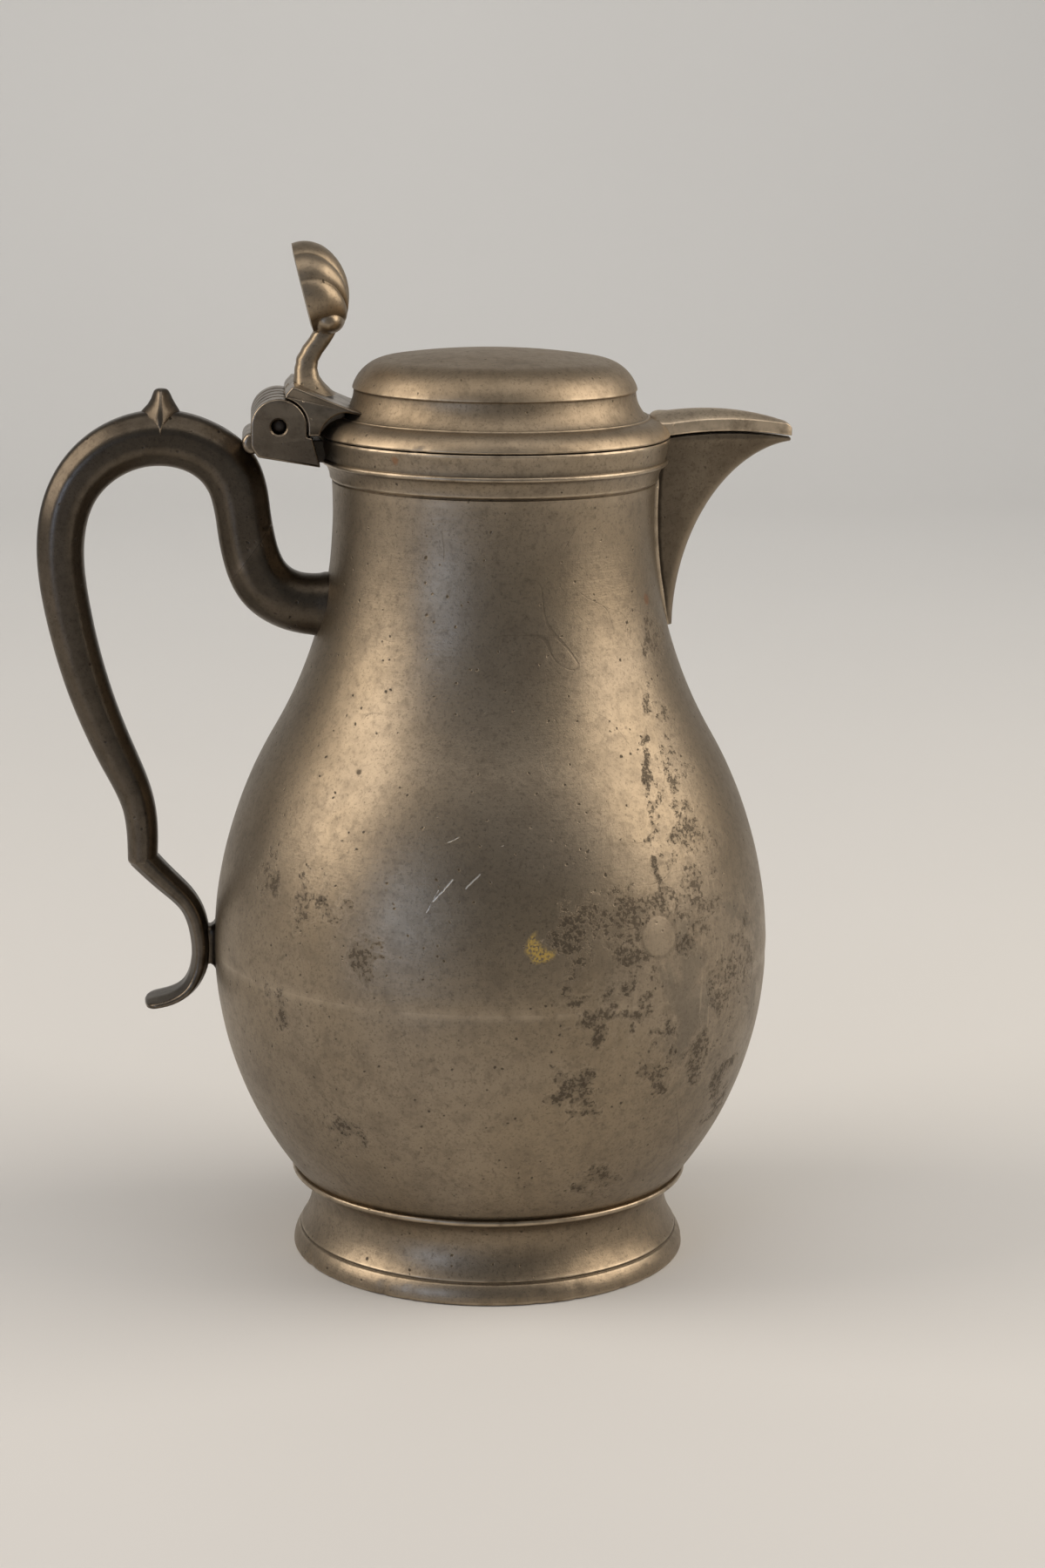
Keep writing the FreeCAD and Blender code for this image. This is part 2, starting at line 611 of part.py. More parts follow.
def ring_section(path, knot, thick, width):
    centre = path.value(knot)
    heading = path.tangent(knot)[0]
    out = Vector(-heading.z, 0, heading.x)
    a, b = thick / 2, width / 2
    k = HANDLE_FACET
    corners = [(a, b * k), (a * k, b), (-a * k, b), (-a, b * k)]
    corners += [(-u, -v) for u, v in corners]
    points = [centre + out * u + ACROSS * v for u, v in corners]
    return Part.makePolygon(points + points[:1])


def scroll_stations():
    """Path of the scroll: root and arch follow the neck and rim, the lower limb the belly."""
    neck, rim, t, w = NECK_RADIUS, RIM_HEIGHT, HANDLE_THICK, HANDLE_WIDTH
    reach, fall = HANDLE_OUT, HANDLE_FALL
    upper = [(-1.5, 48.2, t + 2.6, w + 1.6), (10.5, 47.2, t + 1.4, w + 0.9), (19.0, 42.2, t + 0.9, w + 0.4),
             (23.2, 33.5, t + 0.3, w), (25.2, 22.5, t, w), (28.6, 10.4, t + 0.9, w), (36.6, 3.6, t, w),
             (48.8, 0.9, t, w), (62.2, 4.8, t - 0.7, w - 0.4), (72.2, 15.0, t - 1.7, w - 0.9),
             (76.3, 31.0, t - 2.3, w - 1.4), (74.6, 49.5, t - 2.7, w - 1.8), (69.2, 71.2, t - 3.5, w - 2.0)]
    stations = [(-neck - out * reach, rim - drop * fall, thick, wide) for out, drop, thick, wide in upper]
    belly, level = BELLY_RADIUS, BELLY_HEIGHT
    lower = [(26.9, 55.0, t - 4.7, w - 2.4), (21.3, 41.0, t - 6.2, w - 2.6), (20.3, 25.4, t - 7.0, w - 2.8)]
    stations += [(-belly - out * reach, level + rise * fall, thick, wide) for out, rise, thick, wide in lower]
    return stations


def tail_stations():
    """Hooked tail from the lower point of the scroll past the belly pad to its rolled end."""
    belly, level, t, w = BELLY_RADIUS + PAD_GAP, BELLY_HEIGHT, TAIL_THICK, TAIL_WIDTH
    reach, fall = HANDLE_OUT, HANDLE_FALL
    start = (-BELLY_RADIUS - 20.9 * reach, level + 26.4 * fall, t + 2.4, w - 0.4)
    path = [(12.2, 18.8, t + 1.6, w - 0.4), (5.8, 12.0, t + 0.7, w + 0.2), (2.6, 3.0, t - 0.2, w + 1.2),
            (3.0, -6.0, t - 0.8, w + 2.4), (6.6, -12.6, t - 1.4, w + 3.6), (13.2, -16.0, t - 1.8, w + 4.6),
            (18.8, -16.8, t - 2.2, w + 4.8)]
    hook = [(-belly - out * reach, level + rise * fall, thick, wide) for out, rise, thick, wide in path]
    return [start] + hook


def cusp():
    """Small pointed bud on top of the arch."""
    x = -NECK_RADIUS - 48.2 * HANDLE_OUT
    top = RIM_HEIGHT - 0.9 * HANDLE_FALL + HANDLE_THICK / 2
    h, w = CUSP_HEIGHT, HANDLE_WIDTH
    wires = [stem_section(x - 0.41 * w, x + 0.41 * w, w * 0.42, top - h / 2),
             stem_section(x - 0.24 * w, x + 0.28 * w, w * 0.34, top + h * 0.28),
             stem_section(x - 0.107 * w, x + 0.16 * w, w * 0.22, top + h * 0.72),
             stem_section(x - 0.033 * w, x + 0.087 * w, w * 0.09, top + h)]
    return Part.makeLoft(wires, True, False)


def whole_handle():
    return sweep(scroll_stations()).fuse(sweep(tail_stations())).fuse(cusp()).removeSplitter()


def scarf_side():
    """Everything on the neck's side of the oblique joint across the elbow."""
    upper = (-NECK_RADIUS - 10.0 * HANDLE_OUT, RIM_HEIGHT - 15.0 * HANDLE_FALL)
    lower = (-NECK_RADIUS - 39.0 * HANDLE_OUT, RIM_HEIGHT - 54.8 * HANDLE_FALL)
    below = RIM_HEIGHT - 80.0 * HANDLE_FALL
    edges = outline(upper, lower, (lower[0], below), (0, below), (0, upper[1]), upper)
    return slab(edges, 3 * HANDLE_WIDTH)


def handle_pad(filled, handle):
    level = BELLY_HEIGHT
    pad = block(-BELLY_RADIUS - PAD_GAP - TAIL_THICK / 2, 10.0 - BELLY_RADIUS, PAD_WIDTH / 2,
                level - PAD_HEIGHT / 2, level + PAD_HEIGHT / 2)
    return largest(pad.cut(filled).cut(handle))


def build():
    filled = body_filled()
    filled_lid = lid_filled()
    handle = whole_handle()
    root_side = scarf_side()
    lug = hinge_lug(filled_lid)
    return {
        "foot_ring": foot_ring(filled),
        "base_plate": base_plate(),
        "lower_body": lower_body(),
        "upper_body": upper_body(),
        "spout": spout(filled),
        "handle_root": largest(handle.common(root_side).cut(filled)),
        "handle_scroll": largest(handle.cut(root_side).cut(filled)),
        "handle_pad": handle_pad(filled, handle),
        "hinge_bracket": hinge_bracket(filled, handle),
        "hinge_pin": hinge_pin(),
        "lid": lid(),
        "lid_spout_cover": lid_spout_cover(filled_lid),
        "lid_hinge_lug": lug,
        "thumbpiece": thumbpiece(lug),
    }


os.makedirs("parts", exist_ok=True)
for name, shape in build().items():
    shape.exportStep("parts/" + name + ".step")
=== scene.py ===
"""Looks of the pewter jug: worn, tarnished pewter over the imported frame.

The jug stands on a pale floor in soft studio light.
"""
import math

import bmesh
import bpy
import numpy as np
from mathutils import Matrix, Vector, geometry, noise


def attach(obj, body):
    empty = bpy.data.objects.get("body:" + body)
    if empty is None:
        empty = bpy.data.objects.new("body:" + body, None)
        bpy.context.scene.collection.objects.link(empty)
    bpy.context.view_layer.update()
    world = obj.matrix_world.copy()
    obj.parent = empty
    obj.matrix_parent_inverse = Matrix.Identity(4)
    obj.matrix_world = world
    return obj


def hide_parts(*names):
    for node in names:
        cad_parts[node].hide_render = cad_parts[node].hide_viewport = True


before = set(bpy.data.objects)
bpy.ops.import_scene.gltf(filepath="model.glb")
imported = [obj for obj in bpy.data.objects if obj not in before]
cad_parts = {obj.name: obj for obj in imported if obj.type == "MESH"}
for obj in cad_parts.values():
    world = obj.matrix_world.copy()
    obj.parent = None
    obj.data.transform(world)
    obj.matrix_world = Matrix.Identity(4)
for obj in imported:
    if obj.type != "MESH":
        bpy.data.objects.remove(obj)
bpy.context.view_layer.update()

# Sizes in millimetres, named as in the part's source
WALL = 2.4
FOOT_RADIUS = 57.0
FOOT_HEIGHT = 21.8
FOOT_WAIST = 51.6
FOOT_LIP_STAND = 1.3
BASE_FLANGE = 47.2
BASE_OPENING = 44.2
BELLY_RADIUS = 79.6
BELLY_HEIGHT = 90.8
BOWL_STAND = 1.8
SHOULDER_SHARE = 0.49
NECK_RADIUS = 45.4
NECK_HEIGHT = 216.8
RIM_RADIUS = 49.0
RIM_SPREAD = 0.5  # the rim is this much wider here than in the solids
RIM_HEIGHT = 237.6
SEAM_LAP = 4.0
SPOUT_TIP = 83.6
SPOUT_DEPTH = 54.0
SPOUT_KEEL_REACH = 5.7
SPOUT_ROOT_HALF = 8.4
SPOUT_FOOT_HALF = 3.1
SPOUT_NOSE = 2.9
SPOUT_WALL = 1.9
SPOUT_ARCH = 1.3
LID_GAP = 0.35
LID_BASE = RIM_HEIGHT + LID_GAP
LID_HEIGHT = 23.6
LID_WALL = 2.2
BRIM_RISE = 5.0
BRIM_WIDTH = 5.2
STEP_RISE = 12.6
STEP_INSET = 9.4
CROWN_ARC = 200.0
CROWN_SHOULDER = 11.5
BEZEL_DROP = 4.0
BEZEL_CLEARANCE = 1.2
COVER_EDGE = 3.6
COVER_CROWN = 2.9
COVER_OVERHANG = 0.4
HINGE_X = -60.6
HINGE_Z = 241.8
HINGE_HALF = 19.0
KNUCKLE_WIDTH = 7.6
KNUCKLE_RADIUS = 7.7
KNUCKLE_GAP = 0.35
SIDE_GAP = 0.2
PIN_RADIUS = 2.15
PIN_RECESS = 2.6
LUG_RISE = 11.4
STEM_HEIGHT = 14.0
SHELL_LENGTH = 24.2
SHELL_DEPTH = 11.8
SHELL_HALF_WIDTH = 13.0
SHELL_LEAN = 14.0
SHELL_WALL = 2.0
HANDLE_THICK = 15.5
HANDLE_WIDTH = 15.0
HANDLE_FACET = 0.42
TAIL_THICK = 5.2
TAIL_WIDTH = 12.4
CUSP_HEIGHT = 6.0
PAD_GAP = 1.3

BOWL_DROP = BELLY_RADIUS - FOOT_WAIST - BOWL_STAND
BOWL_ARC = (BOWL_DROP ** 2 + (BELLY_HEIGHT - FOOT_HEIGHT) ** 2) / (2 * BOWL_DROP)
DROP = BELLY_RADIUS - NECK_RADIUS
BOTH_ARCS = (DROP ** 2 + (NECK_HEIGHT - BELLY_HEIGHT) ** 2) / (2 * DROP)
SHOULDER_ARC = BOTH_ARCS * SHOULDER_SHARE
NECK_ARC = BOTH_ARCS - SHOULDER_ARC
SPOUT_BASE = NECK_RADIUS - 6.0
KEEL_POWER = 1.95
TURNS = 256
BORE_SIDES = 40
LIP_STEPS = 40
SWEEP_STEP = 1.4
FOLD_ANGLE = 42.0

# Where the handle's joint crosses its elbow
ELBOW_REACH = -76.0
ELBOW_LOW = 165.0
ELBOW_HIGH = 226.0

# Curvature per metre at which an edge is fully rubbed or a hollow full of dirt, and the most that counts
BEND_FULL = 450.0
BEND_LIMIT = 4000
WEAR_PASSES = 3
FLANK_SLOPE = 1.6


# Outline of the body

def bowl_radius(z, inset=0.0):
    return BELLY_RADIUS - BOWL_ARC + math.sqrt((BOWL_ARC - inset) ** 2 - (z - BELLY_HEIGHT) ** 2)


def shoulder_radius(z, inset=0.0):
    return BELLY_RADIUS - SHOULDER_ARC + math.sqrt((SHOULDER_ARC - inset) ** 2 - (z - BELLY_HEIGHT) ** 2)


def neck_radius(z, inset=0.0):
    return NECK_RADIUS + NECK_ARC - math.sqrt((NECK_ARC + inset) ** 2 - (z - NECK_HEIGHT) ** 2)


def turn_height(inset=0.0):
    return BELLY_HEIGHT + (NECK_HEIGHT - BELLY_HEIGHT) * (SHOULDER_ARC - inset) / BOTH_ARCS


def body_radius(z):
    if z < BELLY_HEIGHT:
        return bowl_radius(z)
    return shoulder_radius(z) if z < turn_height() else neck_radius(z)


def run(radius_at, z_from, z_to, count, inset=0.0):
    """Points of one arc of the outline between two heights."""
    heights = [z_from + (z_to - z_from) * i / (count - 1) for i in range(count)]
    return [(radius_at(z, inset), z) for z in heights]


def bow(a, middle, b, count=9):
    """Points on the circle through three points of a section."""
    ax, ay = a[0] - middle[0], a[1] - middle[1]
    bx, by = b[0] - middle[0], b[1] - middle[1]
    double = 2 * (ax * by - ay * bx)
    ux = (by * (ax * ax + ay * ay) - ay * (bx * bx + by * by)) / double
    uy = (ax * (bx * bx + by * by) - bx * (ax * ax + ay * ay)) / double
    cx, cy = middle[0] + ux, middle[1] + uy
    reach = math.hypot(ux, uy)
    first = math.atan2(a[1] - cy, a[0] - cx)
    half = math.remainder(math.atan2(middle[1] - cy, middle[0] - cx) - first, 2 * math.pi)
    rest = math.remainder(math.atan2(b[1] - cy, b[0] - cx) - first - half, 2 * math.pi)
    angles = [first + (half + rest) * i / (count - 1) for i in range(count)]
    return [(cx + reach * math.cos(t), cy + reach * math.sin(t)) for t in angles]


def clamp(value):
    return min(max(value, 0.0), 1.0)


def parabola(start, corner, end, t):
    """A point on the curve that rounds a corner."""
    return start * (1 - t) ** 2 + corner * (2 * t * (1 - t)) + end * t ** 2


def soften(section, reach, closed=True):
    """Rounds the corners of a section: each becomes a short parabola."""
    out = []
    for i, here in enumerate(section):
        before, after = section[i - 1], section[(i + 1) % len(section)]
        here = Vector(here)
        if not closed and i in (0, len(section) - 1):
            out.append(tuple(here))
            continue
        back, on = Vector(before) - here, Vector(after) - here
        if back.length < 1e-6 or on.length < 1e-6:
            continue
        if math.pi - back.angle(on) < 0.2:
            out.append(tuple(here))
            continue
        step = min(reach, 0.42 * back.length, 0.42 * on.length)
        start, end = here + back.normalized() * step, here + on.normalized() * step
        for t in (0.0, 0.25, 0.5, 0.75, 1.0):
            out.append(tuple(parabola(start, here, end, t)))
    return out


# Meshes

def lathe(section, closed=True):
    """Points and faces of a section turned about the jug's axis."""
    points, rings, faces = [], [], []
    for r, z in section:
        if r < 1e-6:
            rings.append([len(points)] * TURNS)
            points.append((0.0, 0.0, z))
            continue
        rings.append(list(range(len(points), len(points) + TURNS)))
        for i in range(TURNS):
            turn = 2 * math.pi * i / TURNS
            points.append((r * math.cos(turn), r * math.sin(turn), z))
    following = rings[1:] + rings[:1] if closed else rings[1:]
    for low, high in zip(rings, following):
        faces += strip(low, high, True)
    return points, faces


def strip(low, high, around):
    """Quads between two rows of vertices, without the corners that fall together."""
    faces = []
    for i in range(len(low) if around else len(low) - 1):
        j = (i + 1) % len(low)
        face = list(dict.fromkeys((low[i], low[j], high[j], high[i])))
        if len(face) > 2:
            faces.append(face)
    return faces


def loft(rows, around=True, caps=True):
    """Points and faces through rows of points; caps close the first and last row."""
    points = [p for row in rows for p in row]
    index, width = [], len(rows[0])
    for i in range(len(rows)):
        index.append(list(range(i * width, (i + 1) * width)))
    faces = [face for low, high in zip(index, index[1:]) for face in strip(low, high, around)]
    if caps:
        faces += [index[0][::-1], index[-1]]
    return points, faces


def joined(*shapes):
    """Several sets of points and faces as one."""
    points, faces = [], []
    for more_points, more_faces in shapes:
        base = len(points)
        points += [tuple(p) for p in more_points]
        faces += [[base + i for i in face] for face in more_faces]
    return points, faces


def settle(mesh, sharp):
    """Faces outward, smooth shading, and sharp edges only where the surface folds."""
    work = bmesh.new()
    work.from_mesh(mesh)
    bmesh.ops.remove_doubles(work, verts=work.verts, dist=2e-6)
    bmesh.ops.dissolve_degenerate(work, edges=work.edges, dist=1e-6)
    bmesh.ops.recalc_face_normals(work, faces=work.faces)
    for face in work.faces:
        face.smooth = True
    for edge in work.edges:
        edge.smooth = len(edge.link_faces) == 2 and edge.calc_face_angle(0.0) < math.radians(sharp)
    work.to_mesh(mesh)
    work.free()


def mark_wear(mesh):
    """Stores at each vertex how proud (wear), sunk (grime) or upright the surface is; the upright share
    drives painted shade on upright sides.
    """
    count = len(mesh.vertices)
    place, facing = np.empty(count * 3), np.empty(count * 3)
    mesh.vertices.foreach_get("co", place)
    mesh.vertices.foreach_get("normal", facing)
    place, facing = place.reshape(-1, 3), facing.reshape(-1, 3)
    ends = np.empty(len(mesh.edges) * 2, np.int32)
    mesh.edges.foreach_get("vertices", ends)
    ends = ends.reshape(-1, 2)
    step = place[ends[:, 1]] - place[ends[:, 0]]
    length = np.maximum((step ** 2).sum(1), 1e-10)
    bend, tally = np.zeros(count), np.zeros(count)
    for side, sign in ((0, 2.0), (1, -2.0)):
        curve = sign * (step * facing[ends[:, side]]).sum(1) / length
        np.add.at(bend, ends[:, side], np.clip(curve, -BEND_LIMIT, BEND_LIMIT))
        np.add.at(tally, ends[:, side], 1.0)
    bend /= np.maximum(tally, 1.0)
    for _ in range(WEAR_PASSES):
        total = bend * 2.0
        np.add.at(total, ends[:, 0], bend[ends[:, 1]])
        np.add.at(total, ends[:, 1], bend[ends[:, 0]])
        bend = total / (tally + 2.0)
    flank_painted_shade = 1.0 - facing[:, 2] * FLANK_SLOPE
    for name, values in (("wear", -bend / BEND_FULL), ("grime", bend / BEND_FULL), ("flank_painted_shade", flank_painted_shade)):
        layer = mesh.attributes.new(name, "FLOAT", "POINT")
        layer.data.foreach_set("value", np.clip(values, 0.0, 1.0).astype(np.float32))


def mesh_of(name, shape, sharp):
    """Settled mesh, in metres, of a shape in millimetres."""
    mesh = bpy.data.meshes.new(name)
    mesh.from_pydata([(x / 1000, y / 1000, z / 1000) for x, y, z in shape[0]], [], shape[1])
    settle(mesh, sharp)
    return mesh


def placed(name, data):
    """A new object in the scene."""
    obj = bpy.data.objects.new(name, data)
    bpy.context.scene.collection.objects.link(obj)
    return obj


def piece(name, shape, body, node, material, sharp=FOLD_ANGLE):
    """A piece that stands for a CAD node, with its own mesh and material."""
    mesh = mesh_of(name, shape, sharp)
    mark_wear(mesh)
    mesh.materials.append(material)
    obj = placed(name, mesh)
    even = obj.modifiers.new("even_shading", "WEIGHTED_NORMAL")
    even.mode, even.weight, even.keep_sharp = "FACE_AREA", 50, True
    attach(obj, body)
    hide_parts(node)
    return obj


def inset(outline, reach):
    """A closed outline drawn in by a distance."""
    area = sum(a[0] * b[1] - b[0] * a[1] for a, b in zip(outline, outline[1:] + outline[:1]))
    side, out = (1.0 if area > 0 else -1.0), []
    for i, here in enumerate(outline):
        here, before, after = Vector(here), Vector(outline[i - 1]), Vector(outline[(i + 1) % len(outline)])
        a, b = (here - before).normalized(), (after - here).normalized()
        left = Vector((-a.y, a.x)) * side
        normal = Vector((-a.y - b.y, a.x + b.x)) * side
        normal = normal.normalized() if normal.length > 1e-6 else left
        out.append(tuple(here + normal * (reach / max(normal.dot(left), 0.5))))
    return out


def plate(outline, y_from, y_to, rounding, hole=None):
    """Slab across the jug with an outline in x and z, rounded edges and maybe a countersunk hole."""
    turns = [math.pi / 2 * i / 4 for i in range(5)]
    first, last = rounding if isinstance(rounding, tuple) else (rounding, rounding)
    near = [(first * (1 - math.sin(t)), y_from + first * (1 - math.cos(t))) for t in turns]
    far = [(last * (1 - math.sin(t)), y_to - last * (1 - math.cos(t))) for t in reversed(turns)]
    rows = [[(x, y, z) for x, z in inset(outline, reach)] for reach, y in near + far]
    points, faces = loft(rows, caps=False)
    ends = [[rows[0]], [rows[-1]]]
    places = [[list(range(len(outline)))], [list(range(len(points) - len(outline), len(points)))]]
    if hole:
        x, z, radius, flare = hole
        steps = [(radius + flare, y_from), (radius, y_from + flare)]
        steps += [(radius, y_to - flare), (radius + flare, y_to)]
        around = [2 * math.pi * i / BORE_SIDES for i in range(BORE_SIDES)]
        bore = [[(x + r * math.cos(t), y, z + r * math.sin(t)) for t in around] for r, y in steps]
        base = len(points)
        points, faces = joined((points, faces), loft(bore, caps=False))
        for side, row in ((0, 0), (1, 3)):
            start = base + row * BORE_SIDES
            ends[side].append(bore[row])
            places[side].append(list(range(start, start + BORE_SIDES)))
    for end, place in zip(ends, places):
        index = [i for loop in place for i in loop]
        loops = [[Vector((x, z, 0)) for x, _, z in loop] for loop in end]
        faces += [[index[i] for i in face] for face in geometry.tessellate_polygon(loops)]
    return points, faces


# Hand-worked unevenness of the metal

# Shallow dents: x, y, z, reach and depth
DENTS = [(-52, -55, 62, 13, 0.35), (20, -76, 84, 16, 0.30), (58, -50, 60, 12, 0.35), (-66, -22, 128, 12, 0.3),
         (34, 62, 120, 15, 0.4), (-30, 70, 75, 12, 0.35), (-8, 49, 200, 9, 0.25), (70, 20, 105, 12, 0.3)]
CALM_LOW = 24.0
CALM_HIGH = 232.0
CALM_REACH = 14.0


def uneven(points):
    """Moves points of the turned body in and out a little, less towards the rim and the foot."""
    out = []
    for x, y, z in points:
        r = math.hypot(x, y)
        if r < 1e-6:
            out.append((x, y, z))
            continue
        calm = clamp((CALM_HIGH - z) / CALM_REACH) * clamp((z - CALM_LOW) / CALM_REACH)
        broad = noise.noise(Vector((x, y, z)) / 38.0) * 0.16
        push = broad + noise.noise(Vector((x, y, z * 1.4)) / 13.0) * 0.05
        for dx, dy, dz, reach, depth in DENTS:
            away = ((x - dx) ** 2 + (y - dy) ** 2 + (z - dz) ** 2) / reach ** 2
            if away < 6.0:
                push -= depth * math.exp(-away * 1.6)
        seam = max(0.55 + 0.9 * noise.noise(Vector((x, y, 40.0)) / 24.0), 0.0)
        ridge = 0.12 * math.exp(-((z - 94.5) / 2.6) ** 2)
        furrow = 0.13 * math.exp(-((z - 90.2) / 2.2) ** 2)
        push += seam * (ridge - furrow)
        scale = 1.0 + push * calm / r
        out.append((x * scale, y * scale, z))
    return out


def nicked(points, zone, depth):
    """Presses small nicks into an edge: zone is its radius, height and reach."""
    radius, level, reach = zone
    out = []
    for x, y, z in points:
        r = math.hypot(x, y)
        if r > 1e-6 and abs(r - radius) < reach and abs(z - level) < reach:
            turn = math.atan2(y, x)
            here = Vector((math.cos(turn), math.sin(turn), 0.0)) * radius
            bite = max(noise.noise(here / 2.6 + Vector((0, 0, level))) - 0.28, 0.0) * depth
            bite += max(noise.noise(here / 9.0 + Vector((7, 3, level))) - 0.35, 0.0) * depth * 1.4
            scale = 1.0 - bite / r
            x, y = x * scale, y * scale
        out.append((x, y, z))
    return out


# Materials

class Looks:
    """One material, node by node: methods return sockets, or add to its colour, height and gloss."""

    def __init__(self, name):
        self.material = bpy.data.materials.new(name)
        self.material.use_nodes = True
        self.tree = self.material.node_tree
        self.shader = self.tree.nodes["Principled BSDF"]
        self.place = self.node("ShaderNodeTexCoord").outputs["Object"]
        self.colour, self.height, self.gloss = None, None, None

    def node(self, kind, feeds=None, **settings):
        node = self.tree.nodes.new(kind)
        for key, value in settings.items():
            setattr(node, key, value)
        for key, value in (feeds or {}).items():
            self.feed(node.inputs[key], value)
        return node

    def feed(self, socket, value):
        if isinstance(value, bpy.types.NodeSocket):
            self.tree.links.new(value, socket)
        else:
            socket.default_value = value

    def math(self, operation, a, b=0.0, c=0.0):
        return self.node("ShaderNodeMath", {0: a, 1: b, 2: c}, operation=operation).outputs[0]

    def vector(self, operation, *feeds, result=0):
        node = self.node("ShaderNodeVectorMath", dict(enumerate(feeds)), operation=operation)
        return node.outputs[result]

    def minus(self, a, b):
        return self.math("SUBTRACT", a, b)

    def times(self, *values):
        result = values[0]
        for value in values[1:]:
            result = self.math("MULTIPLY", result, value)
        return result

    def plus(self, *values):
        result = values[0]
        for value in values[1:]:
            result = self.math("ADD", result, value)
        return result

    def most(self, *values):
        result = values[0]
        for value in values[1:]:
            result = self.math("MAXIMUM", result, value)
        return result

    def flip(self, value):
        return self.minus(1.0, value)

    def stretched(self, x, y, z, shift=0.0):
        return self.vector("MULTIPLY_ADD", self.place, (x, y, z), (shift, shift, shift))

    def noise(self, scale, detail=4.0, rough=0.55, where=None, twist=0.0):
        feeds = {"Vector": where or self.place, "Scale": scale, "Detail": detail}
        feeds.update({"Roughness": rough, "Distortion": twist})
        return self.node("ShaderNodeTexNoise", feeds).outputs["Fac"]

    def wobble(self, reach, *settings, **more):
        """Noise to both sides of zero."""
        return self.times(self.minus(self.noise(*settings, **more), 0.5), reach)

    def cells(self, scale, where=None):
        feeds = {"Vector": where or self.place, "Scale": scale}
        node = self.node("ShaderNodeTexVoronoi", feeds)
        return node.outputs["Distance"], node.outputs["Color"]

    def band(self, value, low, high):
        """Smooth step from 0 at low to 1 at high; high may be below low."""
        if low > high:
            return self.flip(self.band(value, high, low))
        feeds = {"Value": value, "From Min": low, "From Max": high}
        return self.node("ShaderNodeMapRange", feeds, interpolation_type="SMOOTHSTEP").outputs["Result"]

    def near(self, x, y, z, inner, outer, where=None):
        """One within inner millimetres of a place, none beyond outer."""
        away = self.vector("DISTANCE", where or self.place, (x / 1000, y / 1000, z / 1000), result="Value")
        return self.band(away, outer / 1000, inner / 1000)

    def shaken(self, amount, scale):
        """Places moved about a little, for marks with ragged or wavy edges."""
        feeds = {"Vector": self.place, "Scale": scale, "Detail": 3.0}
        shift = self.node("ShaderNodeTexNoise", feeds).outputs["Color"]
        middle = self.vector("SUBTRACT", shift, (0.5, 0.5, 0.5))
        return self.vector("MULTIPLY_ADD", middle, (amount, amount, amount), self.place)

    def tint(self, share, a, b):
        node = self.node("ShaderNodeMix", data_type="RGBA")
        self.feed(node.inputs[0], share)
        for socket, colour in ((node.inputs[6], a), (node.inputs[7], b)):
            self.feed(socket, colour if isinstance(colour, bpy.types.NodeSocket) else (*colour, 1.0))
        return node.outputs[2]

    def stored(self, name):
        return self.node("ShaderNodeAttribute", attribute_name=name).outputs["Fac"]

    def axes(self):
        node = self.node("ShaderNodeSeparateXYZ", {0: self.place})
        return node.outputs[0], node.outputs[1], node.outputs[2]

    def paint(self, tone, *shares):
        """Lays a tone over the colour, by the product of the shares."""
        self.colour = self.tint(self.times(*shares), self.colour, tone)

    def lift(self, *parts):
        """Raises the surface by the product of each part's values."""
        self.height = self.plus(self.height, *[self.times(*part) for part in parts])

    def dull(self, *parts):
        """Makes the surface rougher by the product of each part's values."""
        self.gloss = self.plus(self.gloss, *[self.times(*part) for part in parts])


def shade(colour, share):
    return [min(c * share, 1.0) for c in colour]


def pits(looks, scale, rare, size, where):
    """Scattered small pits: one in each of a few cells of the metal."""
    distance, random = looks.cells(scale, where)
    chosen = looks.node("ShaderNodeSeparateColor", {0: random}).outputs[0]
    return looks.times(looks.band(distance, size, size * 0.4), looks.band(chosen, rare, rare + 0.01))


